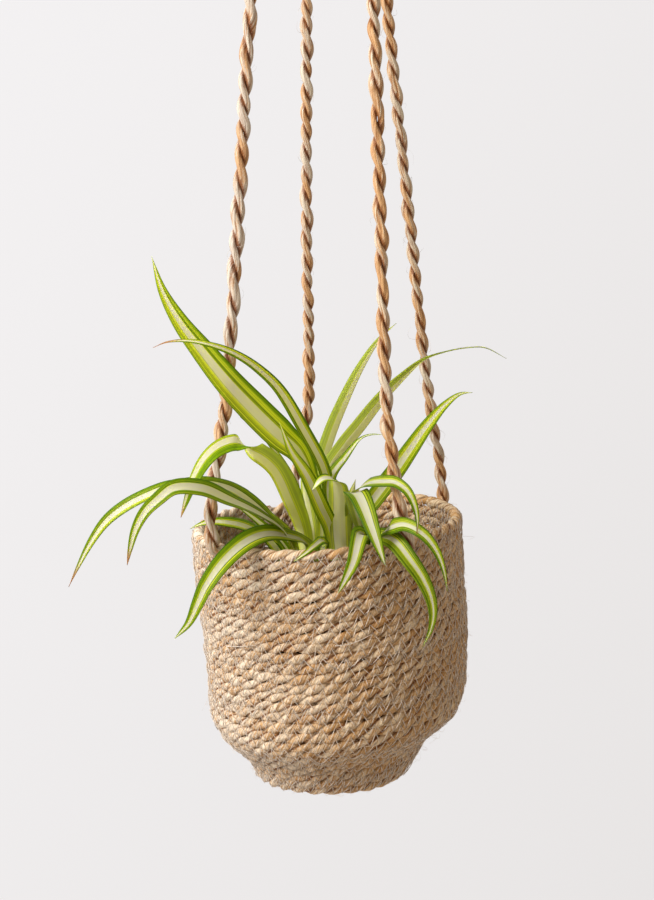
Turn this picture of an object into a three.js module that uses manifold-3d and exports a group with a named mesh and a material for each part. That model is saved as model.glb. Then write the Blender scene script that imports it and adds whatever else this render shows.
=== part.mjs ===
// A striped spider plant in a coiled jute basket, which hangs from four twisted ropes, a knot and a loop.
import * as THREE from 'three';
import { mergeVertices } from 'three/addons/utils/BufferGeometryUtils.js';
import Module from 'manifold-3d';

const wasm = await Module();
wasm.setup();

// Driving sizes in millimetres. X runs to the right, Y to the back and Z up. The pieces are placed from
// the middle of the basket's rim, and the whole is lowered at the end, so that the loop bears at the origin.
const CLEAR = 0.3;
const BASKET_HEIGHT = 194;
const WALL = 8;
const ROW_PITCH = 7.4;
const ROW_RELIEF = 1.5;
const BASKET_SIDES = 32;
const ROPE_DIAMETER = 9;
const ROPE_SIDES = 8;
const ROPE_STEPS = 20;
const KNOT = { across: -5, bottom: 780, height: 34, radius: 16 };
const LOOP = { diameter: 8, rise: 46, spread: 15, legs: 6 };
const POT = { across: 3, top: -48, topRadius: 69, footRadius: 43, wall: 1.5, floor: 2, rim: 4 };
const SOIL_TOP = -57;
const CROWN = { radius: 9, top: -43, bottom: -76 };
const BLADE = { thickness: 0.7, step: 20, mostSteps: 13, fewestSteps: 5 };

// The basket was coiled by hand, so it leans: each ring of its wall has a depth under the rim, a radius,
// a shift to the right and a tilt in degrees that lifts its right side.
const RINGS = [
  { depth: 0, radius: 99, shift: 0, tilt: 3.6 },
  { depth: 25, radius: 98.6, shift: 1, tilt: 3.7 },
  { depth: 50, radius: 98.2, shift: 3, tilt: 3.8 },
  { depth: 75, radius: 98, shift: 6, tilt: 4.1 },
  { depth: 110, radius: 96.2, shift: 7.8, tilt: 4.6 },
  { depth: 136, radius: 95, shift: 7.6, tilt: 5.2 },
  { depth: 146, radius: 92.5, shift: 7.6, tilt: 5.5 },
  { depth: 154, radius: 87, shift: 7.7, tilt: 5.9 },
  { depth: 178, radius: 66, shift: 8, tilt: 7.4 },
  { depth: BASKET_HEIGHT, radius: 55, shift: 2, tilt: 0 },
];

const radians = THREE.MathUtils.degToRad;
const mix = THREE.MathUtils.lerp;

// Surfaces

// A closed mesh from a list of points and the triangles between them.
function meshOf(points, triangles) {
  const geometry = new THREE.BufferGeometry();
  geometry.setAttribute('position', new THREE.Float32BufferAttribute(points.flatMap((p) => p.toArray()), 3));
  geometry.setIndex(triangles.flat());
  return geometry;
}

// A closed skin over rings of equally many points, each ring anticlockwise as seen from the last one.
function skin(rings) {
  const sides = rings[0].length;
  const points = rings.flat();
  const triangles = [];
  for (let i = 0; i + 1 < rings.length; i += 1) {
    for (let k = 0; k < sides; k += 1) {
      const a = i * sides + k;
      const b = i * sides + ((k + 1) % sides);
      triangles.push([a, b, a + sides], [b, b + sides, a + sides]);
    }
  }
  const caps = [[0, true], [rings.length - 1, false]];
  for (const [ring, turned] of caps) {
    const middle = rings[ring].reduce((sum, p) => sum.add(p), new THREE.Vector3()).divideScalar(sides);
    const centre = points.push(middle) - 1;
    for (let k = 0; k < sides; k += 1) {
      const a = ring * sides + k;
      const b = ring * sides + ((k + 1) % sides);
      triangles.push(turned ? [centre, b, a] : [centre, a, b]);
    }
  }
  return meshOf(points, triangles);
}

// A round body about an upright axis, from [radius, height] pairs that run from its foot to its top.
function turned(profile, sides, across = 0, along = 0) {
  const ring = ([radius, height]) => Array.from({ length: sides }, (_, k) => {
    const angle = (2 * Math.PI * k) / sides;
    return new THREE.Vector3(across + radius * Math.cos(angle), along + radius * Math.sin(angle), height);
  });
  return skin(profile.map(ring));
}

// A round tube along a curve.
function tube(points, diameter, sides, steps) {
  const section = new THREE.Shape();
  for (let k = 0; k < sides; k += 1) {
    const angle = (2 * Math.PI * k) / sides;
    const corner = [(diameter / 2) * Math.cos(angle), (diameter / 2) * Math.sin(angle)];
    if (k === 0) section.moveTo(...corner);
    else section.lineTo(...corner);
  }
  section.closePath();
  const path = new THREE.CatmullRomCurve3(points, false, 'centripetal');
  return new THREE.ExtrudeGeometry(section, { steps, extrudePath: path, bevelEnabled: false });
}

// Joins and cuts

// A geometry as a solid that can be joined and cut.
function solid(geometry) {
  const bare = geometry.clone();
  bare.deleteAttribute('normal');
  bare.deleteAttribute('uv');
  const merged = mergeVertices(bare, 1e-4);
  return new wasm.Manifold(new wasm.Mesh({
    numProp: 3,
    vertProperties: new Float32Array(merged.attributes.position.array),
    triVerts: new Uint32Array(merged.index.array),
  }));
}

// A solid as a geometry.
function geometryOf(body) {
  const { numProp, vertProperties, triVerts } = body.getMesh();
  const points = [];
  for (let i = 0; i < vertProperties.length; i += numProp) {
    points.push(new THREE.Vector3(...vertProperties.subarray(i, i + 3)));
  }
  return meshOf(points, Array.from(triVerts));
}

// Joins pieces into one body. A pocket that the joining seals is filled: only the outermost skin is kept.
function joined(geometries) {
  const whole = geometries.map(solid).reduce((sum, piece) => sum.add(piece));
  const skins = whole.decompose().sort((a, b) => b.volume() - a.volume());
  return geometryOf(skins[0]);
}

function cut(body, tools) {
  return geometryOf(tools.map(solid).reduce((left, tool) => left.subtract(tool), solid(body)));
}

// The basket

// The wall's radius, shift and tilt at a depth under the rim.
function wallAt(depth) {
  const next = Math.max(1, RINGS.findIndex((ring) => ring.depth >= depth));
  const [above, below] = [RINGS[next - 1], RINGS[next]];
  const part = (depth - above.depth) / (below.depth - above.depth);
  return {
    radius: mix(above.radius, below.radius, part),
    shift: mix(above.shift, below.shift, part),
    tilt: radians(mix(above.tilt, below.tilt, part)),
  };
}

// A point of the wall at a depth and an angle, standing off the wall's outside by a distance.
function wallPoint(depth, angle, standOff) {
  const { radius, shift, tilt } = wallAt(depth);
  const reach = radius + standOff;
  const sideways = reach * Math.cos(angle);
  return new THREE.Vector3(
    shift + sideways * Math.cos(tilt),
    reach * Math.sin(angle),
    sideways * Math.sin(tilt) - depth,
  );
}

// The whole ring of the wall at a depth, standing off by a distance.
function wallRing(depth, standOff) {
  const angles = Array.from({ length: BASKET_SIDES }, (_, k) => (2 * Math.PI * k) / BASKET_SIDES);
  return angles.map((angle) => wallPoint(depth, angle, standOff));
}

// The depths at the crests of the coiled rows, a row's pitch apart along the wall's own outline.
function rowDepths() {
  const depths = [];
  let walked = ROW_PITCH / 2;
  for (let depth = 0; depth < BASKET_HEIGHT - ROW_PITCH / 2; depth += 0.5) {
    if (walked >= ROW_PITCH) {
      depths.push(depth);
      walked -= ROW_PITCH;
    }
    walked += Math.hypot(0.5, wallAt(depth + 0.5).radius - wallAt(depth).radius);
  }
  return depths;
}

// The basket is one body: a ribbed outside, a rounded rim, a plain inside, a floor and a flat foot.
function basket() {
  const crests = rowDepths();
  const foot = BASKET_HEIGHT;
  const outside = crests.flatMap((depth, row) => {
    const next = row + 1 < crests.length ? crests[row + 1] : foot;
    return [wallRing(depth, 0), wallRing((depth + next) / 2, -ROW_RELIEF)];
  });
  const underside = [wallRing(foot, -ROW_RELIEF), wallRing(foot, -14)];
  const crown = [wallRing(0.4, -ROW_RELIEF), wallRing(-0.6, -WALL / 2), wallRing(0.4, ROW_RELIEF - WALL)];
  const insideDepths = [4, 25, 50, 75, 110, 136, 146, 154, 178];
  const inside = insideDepths.map((depth) => wallRing(depth, -WALL));
  const floor = foot - WALL;
  const floorRings = [-WALL, -20].map((standOff) => wallRing(foot, standOff).map((p) => p.setZ(-floor)));
  return skin([...underside.reverse(), ...outside.reverse(), ...crown, ...inside, ...floorRings]);
}

// The grow pot and its soil

const POT_FOOT = WALL + CLEAR - BASKET_HEIGHT;
const CROWNS = { left: [-12, -6], right: [14, -10], back: [3, 19] };

// The pot's outer radius at a height: it widens evenly from its foot to its top.
function potRadius(height) {
  return mix(POT.footRadius, POT.topRadius, (height - POT_FOOT) / (POT.top - POT_FOOT));
}

// The grow pot is a thin tapered shell with a band under its rim and drain holes in its floor.
function nurseryPot() {
  const { top, topRadius, footRadius, wall, floor, rim } = POT;
  const shell = turned([
    [footRadius, POT_FOOT],
    [potRadius(top - rim), top - rim],
    [topRadius + wall, top - rim],
    [topRadius + wall, top],
    [topRadius - wall, top],
    [potRadius(POT_FOOT + floor) - wall, POT_FOOT + floor],
  ], 32, POT.across);
  const holes = [0, 1, 2, 3].map((k) => {
    const angle = Math.PI / 4 + (k * Math.PI) / 2;
    const [x, y] = [POT.across + 27 * Math.cos(angle), 27 * Math.sin(angle)];
    return turned([[5, POT_FOOT - 2], [5, POT_FOOT + floor + 2]], 10, x, y);
  });
  return cut(shell, holes);
}

// The soil fills the pot, with a plain hole for each crown.
function pottingSoil() {
  const inner = (height) => potRadius(height) - POT.wall - CLEAR - 0.2;
  const bottom = POT_FOOT + POT.floor + CLEAR;
  const body = turned([
    [inner(bottom), bottom],
    [inner(SOIL_TOP - 2), SOIL_TOP - 2],
    [inner(SOIL_TOP) - 6, SOIL_TOP],
    [45, SOIL_TOP - 1],
    [34, SOIL_TOP + 1],
    [24, SOIL_TOP],
  ], 32, POT.across);
  const holes = Object.values(CROWNS).map(([x, y]) => turned([
    [CROWN.radius - 1, CROWN.bottom - 1],
    [CROWN.radius + CLEAR + 0.2, CROWN.bottom + 10],
    [CROWN.radius + CLEAR + 0.2, SOIL_TOP + 10],
  ], 16, x, y));
  return cut(body, holes);
}

// The leaves

// A leaf's points are given as they are seen from the front: across and up from the rim's middle, in
// millimetres at its distance, and nearer, the distance by which the point lies in front of that middle.
const EYE = { distance: 1400, elevation: radians(12.9), aimAboveRim: 50.7 };
const toEye = new THREE.Vector3(0, -Math.cos(EYE.elevation), Math.sin(EYE.elevation));
const eyeAt = toEye.clone().multiplyScalar(EYE.distance);
const pitch = EYE.elevation - Math.atan(EYE.aimAboveRim / EYE.distance);
const ahead = new THREE.Vector3(0, Math.cos(pitch), -Math.sin(pitch));
const above = new THREE.Vector3(0, Math.sin(pitch), Math.cos(pitch));

// The point that is seen at a place, at the given distance in front of the rim's middle.
function seen([across, up, nearer]) {
  const ray = ahead.clone().multiplyScalar(EYE.distance)
    .addScaledVector(above, up - EYE.aimAboveRim)
    .add(new THREE.Vector3(across, 0, 0));
  return eyeAt.clone().addScaledVector(ray, (-nearer - eyeAt.y) / ray.y);
}

// The blade is narrow and folded at its foot, widest before its middle, and drawn out to a fine tip.
// A full blade keeps its width for longer.
function bladeWidth(width, full, s) {
  const swell = mix(0.5, 1, Math.sin((Math.min(s / 0.45, 1) * Math.PI) / 2));
  const [bend, blunt] = full ? [2.3, 0.8] : [2, 1];
  const taper = s < 0.45 ? 1 : (1 - ((s - 0.45) / 0.55) ** bend) ** blunt;
  return Math.max(width * swell * taper, 1.1);
}

// The value at a part of the way along evenly spaced values.
function along(values, s) {
  const place = s * (values.length - 1);
  const k = Math.min(Math.floor(place), values.length - 2);
  return mix(values[k], values[k + 1], place - k);
}

// One blade along a curve. Its upper face looks straight up at 0, to the front at 1 and away from it at -1.
function blade(points, width, full, faces) {
  const curve = new THREE.CatmullRomCurve3(points, false, 'centripetal');
  const wanted = Math.round(curve.getLength() / BLADE.step);
  const steps = THREE.MathUtils.clamp(wanted, BLADE.fewestSteps, BLADE.mostSteps);
  const top = [];
  const bottom = [];
  for (let i = 0; i <= steps; i += 1) {
    const s = i / steps;
    const tangent = curve.getTangentAt(s);
    const turn = along(faces, s);
    const facing = new THREE.Vector3(0, 0, 1 - Math.abs(turn)).addScaledVector(toEye, turn);
    const side = tangent.clone().cross(facing).normalize();
    const face = side.clone().cross(tangent).normalize();
    const half = bladeWidth(width, full, s) / 2;
    const rise = half * mix(0.55, 0.22, Math.min(s * 2, 1));
    const middle = curve.getPointAt(s).addScaledVector(face, -rise / 2);
    for (const across of [-1, 0, 1]) {
      const point = middle.clone().addScaledVector(side, across * half);
      point.addScaledVector(face, Math.abs(across) * rise);
      top.push(point.clone().addScaledVector(face, BLADE.thickness / 2));
      bottom.push(point.clone().addScaledVector(face, -BLADE.thickness / 2));
    }
  }
  return meshOf([...top, ...bottom], bladeTriangles(steps, top.length));
}

// Both faces of a blade are split alike, so they can't cross where it bends.
function bladeTriangles(steps, under) {
  const triangles = [];
  const quad = (a, b, c, d) => triangles.push([a, b, c], [b, d, c]);
  for (let i = 0; i < steps; i += 1) {
    const row = 3 * i;
    for (const k of [row, row + 1]) {
      quad(k, k + 1, k + 3, k + 4);
      const below = k + under;
      triangles.push([below, below + 3, below + 1], [below + 1, below + 3, below + 4]);
    }
    quad(row + under, row, row + 3 + under, row + 3);
    quad(row + 2, row + 2 + under, row + 5, row + 5 + under);
  }
  const last = 3 * steps;
  for (const k of [0, 1]) {
    quad(k + under, k + 1 + under, k, k + 1);
    quad(last + k, last + k + 1, last + k + under, last + k + 1 + under);
  }
  return triangles;
}

// Each leaf of the two front rosettes: its width, whether it is full, how its face turns, and its points from
// foot to tip.
const LEAVES = {
  left: [
    {
      width: 23,
      faces: [0.6, 1],
      path: [
        [-11, -1, 14], [-22, 36, 32], [-35, 60, 48], [-52, 79, 61], [-72, 100, 73], [-91, 123, 80],
        [-108, 145, 85], [-121, 168, 88], [-129, 193, 90],
      ],
    },
    {
      width: 18,
      full: true,
      faces: [-0.9, -1, -1, 0.6, 0.9, 0.9],
      path: [
        [-17, -12, 14], [-27, 15, 38], [-38, 37, 54], [-50, 48.5, 66], [-67, 56, 79], [-79.5, 52, 85],
        [-89, 43.5, 90], [-97.5, 29, 94], [-103.5, 13, 96], [-107.5, 1, 97],
      ],
    },
    {
      width: 13,
      faces: [0.3, 0.5, 0.6, 0.3, 0.8, 0.8],
      path: [
        [-30, -10, 36], [-43, 1.5, 52], [-57, 13.5, 66], [-70, 22, 78], [-84, 26, 87], [-97, 26.5, 92],
        [-116, 24, 97], [-132, 18, 99], [-148.5, 9.5, 100], [-162, -1, 100], [-173, -16, 98],
        [-184, -37, 97], [-190, -50, 96],
      ],
    },
    {
      width: 13,
      full: true,
      faces: [0.2, 0.2, 0.2, 0.9, 0.9],
      path: [
        [-31, -10, 48], [-48, 3, 68], [-73, 15, 92], [-93, 23, 106], [-113, 23, 113], [-124, 15, 115],
        [-134, 5, 115], [-141, -8, 114], [-145, -23, 112], [-147, -34, 111],
      ],
    },
    {
      width: 12,
      faces: [0.4, 0.7],
      path: [
        [-42, -16, 14], [-54.5, -8, 24], [-61, -5, 30], [-73, -2.5, 38], [-84, -2, 42],
        [-93.5, -4, 44], [-101, -7.5, 46],
      ],
    },
    {
      width: 15,
      full: true,
      faces: [0.4, 0.9],
      path: [
        [-15, -19, 26], [-28, -12.5, 46], [-46, -11, 70], [-61, -17.5, 87], [-77, -32, 101],
        [-89, -49, 107],
        [-95, -62, 109], [-102, -77, 109], [-112, -88, 109],
      ],
    },
    {
      width: 8,
      faces: [0.5, 0.6],
      path: [
        [-31, -21, 8], [-48, -4, 10], [-69, 12, 16],
      ],
    },
    {
      width: 6,
      faces: [0.5, 0.5],
      path: [
        [-20, 14, 4], [-43, 56, 18], [-64, 75, 28],
      ],
    },
    {
      width: 9,
      full: true,
      faces: [0.5, 0.9],
      path: [
        [-3, -16, 78], [-9.5, -20, 96], [-15.5, -25, 104], [-24.5, -31.5, 106],
      ],
    },
    {
      width: 12,
      faces: [-0.9, -0.9],
      path: [
        [-12, -12, -3], [-14, 3, -8], [-16, 20, -10], [-19, 36, -9],
      ],
    },
  ],
  right: [
    {
      width: 9.5,
      faces: [0.7, 0.7],
      path: [
        [2, 14, 14], [-2, 36, 30], [-18, 67, 52], [-35, 95, 68], [-49, 109, 79], [-65, 120, 90],
        [-82, 127, 98], [-102, 131, 103], [-118, 130, 105], [-128, 126, 106],
      ],
    },
    {
      width: 12,
      faces: [0.8, 0.8],
      path: [
        [3, -8, 28], [-4, 8, 41], [-15, 32, 56], [-27, 51, 67], [-35, 71, 74],
      ],
    },
    {
      width: 10,
      faces: [-0.8, -0.9],
      path: [
        [-5, 14, 2], [-4, 42, 0], [2, 63, 2], [12, 87, 8], [24, 111, 14], [38, 132, 20], [51, 144, 26],
      ],
    },
    {
      width: 11,
      faces: [-0.8, -0.8, -0.4, 0.2],
      path: [
        [2, -1, 8], [0, 34, 10], [12, 54, 12], [24, 69, 16], [40, 89, 22], [55, 104, 27], [71, 117, 31],
        [87, 123, 34], [103, 126, 36], [116, 126, 38], [132, 118, 40],
      ],
    },
    {
      width: 10,
      faces: [0.7, 0.4],
      path: [
        [6, -8, 18], [2, 28, 24], [14, 46, 30], [25, 59, 38], [33, 62, 46], [41, 62, 52],
      ],
    },
    {
      width: 14,
      faces: [0.8, 0.9],
      path: [
        [13, -15, 0], [35, 15, 0], [51, 36, 2], [62, 52, 6], [74, 69, 10], [87, 84, 14], [98, 92, 17],
        [107, 93, 20],
      ],
    },
    {
      width: 10,
      faces: [0.3, 0.8],
      path: [
        [15, -8, 22], [20, 18, 50], [28, 25.5, 72], [39, 27.5, 93], [51, 26.5, 106], [59, 20.5, 113],
        [64, 11, 117], [66.5, -1, 119], [66, -13, 119],
      ],
    },
    {
      width: 19,
      full: true,
      faces: [0.5, 1],
      path: [
        [13, -15, 26], [17, 8, 46], [22, 18, 60], [29, 21, 74], [32, 10, 88], [36, -6, 99],
        [41, -24, 108], [43, -35, 111],
      ],
    },
    {
      width: 17,
      full: true,
      faces: [-0.9, -0.9, 0, 0.6],
      path: [
        [7, -4, 28], [7, 10, 34], [6, 21, 42], [4, 29, 50], [-4, 30, 58], [-11, 21, 62],
      ],
    },
    {
      width: 12,
      faces: [0.2, 0.3, 1, 1],
      path: [
        [24, -19, 44], [38.5, -11.5, 74], [47.5, -6, 97], [56.5, -4, 109], [65.5, -7.5, 117],
        [74.5, -15, 121], [81.5, -25.5, 123], [86, -38, 124], [88.5, -53, 123],
      ],
    },
    {
      width: 14,
      faces: [0.4, 1],
      path: [
        [28, -16, 62], [39, -12.5, 81], [50, -17, 98], [60.5, -30, 109], [69.5, -43, 113],
        [76, -57.5, 115],
        [78, -70, 115], [76, -82, 114], [70, -95, 113],
      ],
    },
    {
      width: 16,
      full: true,
      faces: [0.4, 1],
      path: [
        [24, -21, 68], [24.5, -13.5, 88], [22.5, -18.5, 102], [19.5, -29.5, 108], [15, -41, 110],
        [8, -55, 111],
      ],
    },
    {
      width: 12,
      faces: [-0.9, -0.9],
      path: [
        [12, -12, 2], [15, 3, 0], [18, 18, -4], [21, 29, -8],
      ],
    },
  ],
};

// The leaves at the back fan out over the back of the rim and hang behind the basket.
function backLeaves() {
  const [x, y] = CROWNS.back;
  const spread = [-11, -6, -2, 2, 6, 10];
  const reach = [18, 30, 24, 32, 20, 28];
  return spread.map((aside, k) => {
    const fall = 40 + 2 * reach[k];
    const path = [
      [x + 0.6 * aside, y + 28, -12],
      [x + 0.8 * aside, y + 58, 5],
      [x + aside, y + 86, 7],
      [x + 2 * aside, y + 108 + reach[k] / 4, -6],
      [x + 4 * aside, y + 117 + reach[k] / 2, -fall / 2 - 6],
      [x + 6 * aside, y + 120 + reach[k] / 2, -fall],
    ];
    return { width: 11 + (k % 3) * 2, path: path.map((p) => new THREE.Vector3(...p)) };
  });
}

// A crown stands in the soil, and every blade of its rosette starts inside it.
function crown([x, y]) {
  const { radius, top, bottom } = CROWN;
  return turned([
    [radius - 4, bottom],
    [radius, bottom + 10],
    [radius, SOIL_TOP + 4],
    [radius - 2, top - 3],
    [radius - 6, top],
  ], 12, x, y);
}

// The point inside a crown from which a blade starts, a little towards its first point.
function foot([x, y], next) {
  const lean = new THREE.Vector3(next.x - x, next.y - y, 0).clampLength(0, 5);
  return new THREE.Vector3(x, y, CROWN.top - 9).add(lean);
}

// A rosette is one grown piece: its crown and all its blades.
function rosette(name) {
  const place = CROWNS[name];
  const leaves = name === 'back'
    ? backLeaves().map((leaf) => ({ ...leaf, faces: [0, 0] }))
    : LEAVES[name].map((leaf) => ({ ...leaf, path: leaf.path.map(seen) }));
  const blades = leaves.map(({ width, full = false, faces, path }) => {
    const route = [foot(place, path[0]), ...path];
    return blade(route, width, full, faces);
  });
  return joined([crown(place), ...blades]);
}

// The ropes, the knot and the loop

// Each rope lies against the wall under the rim, and rises past it between two angles. Above that it
// follows its own slight bends, through the points given, to its place under the knot.
const ROPES = {
  rope_front_left: {
    low: -139.5,
    rim: -140,
    path: [[-70.3, -66, 98], [-60.3, -52, 236], [-51.8, -39, 370]],
    top: [-8, -4],
  },
  rope_front_right: {
    low: -55.2,
    rim: -58,
    path: [[43, -84, 73], [40.5, -79, 101], [35.8, -63, 236], [31, -48, 369]],
    top: [8, -5],
  },
  rope_back_right: {
    low: 31,
    rim: 32.3,
    path: [[77, 51, 81], [58.9, 39, 231], [42.3, 28, 373]],
    top: [6, 6],
  },
  rope_back_left: {
    low: 107,
    rim: 104.6,
    path: [[-14.5, 95, 70], [-13.8, 86, 110], [-15.2, 73, 199], [-14.6, 53, 374]],
    top: [-6, 6],
  },
};

// A rope is a plain tube of the twisted cord's outer diameter.
function rope({ low, rim, path, top }) {
  const standOff = ROPE_DIAMETER / 2 + CLEAR + 0.6;
  const end = wallPoint(18, radians(low), standOff);
  const crest = wallPoint(-2, radians(rim), standOff);
  const straightOn = end.clone().lerp(crest, 2.1);
  const high = new THREE.Vector3(KNOT.across + top[0], top[1], KNOT.bottom - CLEAR - 0.6);
  const points = [end, crest, straightOn, ...path.map((p) => new THREE.Vector3(...p)), high];
  return tube(points, ROPE_DIAMETER, ROPE_SIDES, ROPE_STEPS);
}

// The knot is a tight binding of turns round the four ropes.
function gatheringKnot() {
  const turns = 5;
  const { across, bottom, height, radius } = KNOT;
  const profile = [[radius - 1, bottom]];
  for (let k = 0; k < turns; k += 1) {
    const swell = radius * (1 - 0.18 * (k / (turns - 1)) ** 2);
    const turnTop = bottom + (height * (k + 1)) / turns;
    profile.push([swell, turnTop - height / (2 * turns)], [swell - 1.5, turnTop]);
  }
  return turned(profile, 20, across);
}

// The loop rises from the knot's top, widens and closes over the hook.
function hangingLoop() {
  const { diameter, rise, spread, legs } = LOOP;
  const base = KNOT.bottom + KNOT.height + CLEAR;
  const half = [[legs, 0.5], [legs + 1, 6], [spread, 22], [spread - 2, 35], [spread / 2, rise - 2]];
  const right = half.map(([x, z]) => new THREE.Vector3(KNOT.across + x, 0, base + z));
  const left = half.map(([x, z]) => new THREE.Vector3(KNOT.across - x, 0, base + z)).reverse();
  const over = new THREE.Vector3(KNOT.across, 0, base + rise);
  return tube([...right, over, ...left], diameter, ROPE_SIDES, 24);
}

// The whole

const jute = new THREE.MeshStandardMaterial({ color: 0xb89568, roughness: 0.95, metalness: 0 });
const ropeJute = new THREE.MeshStandardMaterial({ color: 0xa67c4e, roughness: 0.9, metalness: 0 });
const leafGreen = new THREE.MeshStandardMaterial({ color: 0x7da03a, roughness: 0.5, metalness: 0 });
const blackPlastic = new THREE.MeshStandardMaterial({ color: 0x2a2724, roughness: 0.6, metalness: 0 });
const darkSoil = new THREE.MeshStandardMaterial({ color: 0x3a2b20, roughness: 1, metalness: 0 });

const planter = new THREE.Group();

function add(name, geometry, material) {
  const mesh = new THREE.Mesh(geometry, material);
  mesh.name = name;
  planter.add(mesh);
}

add('basket', basket(), jute);
add('nursery_pot', nurseryPot(), blackPlastic);
add('potting_soil', pottingSoil(), darkSoil);
for (const name of Object.keys(CROWNS)) add(`spider_plant_${name}`, rosette(name), leafGreen);
for (const [name, route] of Object.entries(ROPES)) add(name, rope(route), ropeJute);
add('gathering_knot', gatheringKnot(), ropeJute);
add('hanging_loop', hangingLoop(), ropeJute);

const bearing = KNOT.bottom + KNOT.height + CLEAR + LOOP.rise - LOOP.diameter / 2;
planter.position.set(-KNOT.across, 0, -bearing);

const group = new THREE.Group();
group.add(planter);

export default group;
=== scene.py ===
"""A striped spider plant in a coiled jute hanging basket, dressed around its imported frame.

Sizes and places are in metres. X is to the right, Y to the back and Z up.
"""

import math
from collections import namedtuple

import bpy
import numpy as np
from bpy.props import FloatProperty, FloatVectorProperty, IntProperty, PointerProperty
from bpy.types import Operator, Panel, PropertyGroup, Scene
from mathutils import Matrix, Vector


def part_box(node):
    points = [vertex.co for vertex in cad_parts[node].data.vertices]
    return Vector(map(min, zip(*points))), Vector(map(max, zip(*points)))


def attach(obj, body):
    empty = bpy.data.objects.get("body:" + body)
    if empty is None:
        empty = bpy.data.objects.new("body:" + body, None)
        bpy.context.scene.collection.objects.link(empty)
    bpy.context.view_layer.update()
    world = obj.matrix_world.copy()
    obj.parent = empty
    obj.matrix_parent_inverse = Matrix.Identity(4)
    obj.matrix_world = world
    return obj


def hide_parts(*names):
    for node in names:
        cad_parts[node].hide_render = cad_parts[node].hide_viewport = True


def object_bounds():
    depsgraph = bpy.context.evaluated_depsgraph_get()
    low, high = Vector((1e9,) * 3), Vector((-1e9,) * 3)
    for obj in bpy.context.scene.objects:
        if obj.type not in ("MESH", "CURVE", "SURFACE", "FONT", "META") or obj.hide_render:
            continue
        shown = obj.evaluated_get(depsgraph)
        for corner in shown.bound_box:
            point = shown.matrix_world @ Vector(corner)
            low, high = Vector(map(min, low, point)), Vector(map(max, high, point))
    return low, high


bl_info = {
    "name": "Potted spider plant in a jute basket",
    "version": (1, 0, 0),
    "blender": (4, 5, 0),
    "location": "3D View > Sidebar > Planter",
    "description": "Dresses a hanging spider plant, its jute basket and its ropes around their packed frame",
    "category": "Add Mesh",
}

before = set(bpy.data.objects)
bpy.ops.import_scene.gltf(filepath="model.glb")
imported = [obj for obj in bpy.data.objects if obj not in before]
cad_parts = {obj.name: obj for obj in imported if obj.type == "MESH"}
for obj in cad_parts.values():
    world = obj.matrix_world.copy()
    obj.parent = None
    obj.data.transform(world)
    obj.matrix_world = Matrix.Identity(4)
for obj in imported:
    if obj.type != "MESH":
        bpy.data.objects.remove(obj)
CAD_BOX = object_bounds()

# The basket

BASKET_HEIGHT = 0.194
RIM = np.array((0.005, 0.0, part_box("basket")[0].z + BASKET_HEIGHT))

# Each ring of the wall: its depth under the rim, its radius, its shift to the right, and the tilt in
# degrees that lifts its right side. Depths, places and heights are counted from the rim's middle, RIM.
RINGS = np.array((
    (0, 0.099, 0, 3.6),
    (0.025, 0.0986, 0.001, 3.7),
    (0.05, 0.0982, 0.003, 3.8),
    (0.075, 0.098, 0.006, 4.1),
    (0.11, 0.0962, 0.0078, 4.6),
    (0.136, 0.095, 0.0076, 5.2),
    (0.146, 0.0925, 0.0076, 5.5),
    (0.154, 0.086, 0.0075, 5.9),
    (0.162, 0.0768, 0.0072, 6.4),
    (0.170, 0.0685, 0.0068, 6.9),
    (0.178, 0.0642, 0.0074, 7.4),
    (0.186, 0.0595, 0.005, 3.7),
    (BASKET_HEIGHT, 0.055, 0.002, 0),
))
OUTLINE_STEP = 0.0005
SHOULDER_ROUNDING = 10
UPWARD = np.array((0, 0, 1.0))

# The coil starts at an angle on the rim, and steps down to the next row in the last part of each turn.
# Its end begins thin, grows over a part of a turn, and is sunk by a multiple of the strands' distance.
COIL_START = math.radians(118)
ROW_STEP = 0.06
COIL_SIDES = 14
COIL_RINGS_A_TURN = 340
COIL_PIECES = ("upper", "middle", "lower")
COIL_END_SIZE = 0.3
COIL_END_TURNS = 0.05
COIL_END_SINK = 3.6

# No strand shrinks by more than a share of its lumps. The painted shade in the crease between two strands
# begins where the surface is at a share of the cord's radius. The two strands' fibres are taken far apart
# from one noise.
LEAST_SWELL = -0.4
CREASE_SHADE_FROM = 0.56
CREASE_SHADE_OVER = 0.18
FIBRES_APART = 50

# The floor is a flat coil of a thinner cord, which starts a little inside the wall's last row.
FLOOR_THINNING = 0.88
FLOOR_STEP = 0.0019
FLOOR_OVERLAP = 0.002
FLOOR_CURVE = 40
FLOOR_SIDES = 10

# The zigzag stitching: every so many rows are sewn again with wider stitches, and the upper rows are sewn
# on the inside too. Its corners lie off the middle of a row by an angle in degrees, and along it by a share
# of a stitch. The thread lies a little off the cord and bulges where it crosses.
SECOND_SEAM_EVERY = 5
SECOND_SEAM_SHARE = (3, 4)
INNER_SEAMS = 5
SEAM_CURVE = 100
STITCH_JITTER = 0.3
STITCH_SPREAD = (-30, 2)
THREAD_SIDES = 4
THREAD_END_SIDES = 5
THREAD_END_SIZE = 1.2
THREAD_LIFT = 0.0005
THREAD_BULGE = 0.0004

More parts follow.
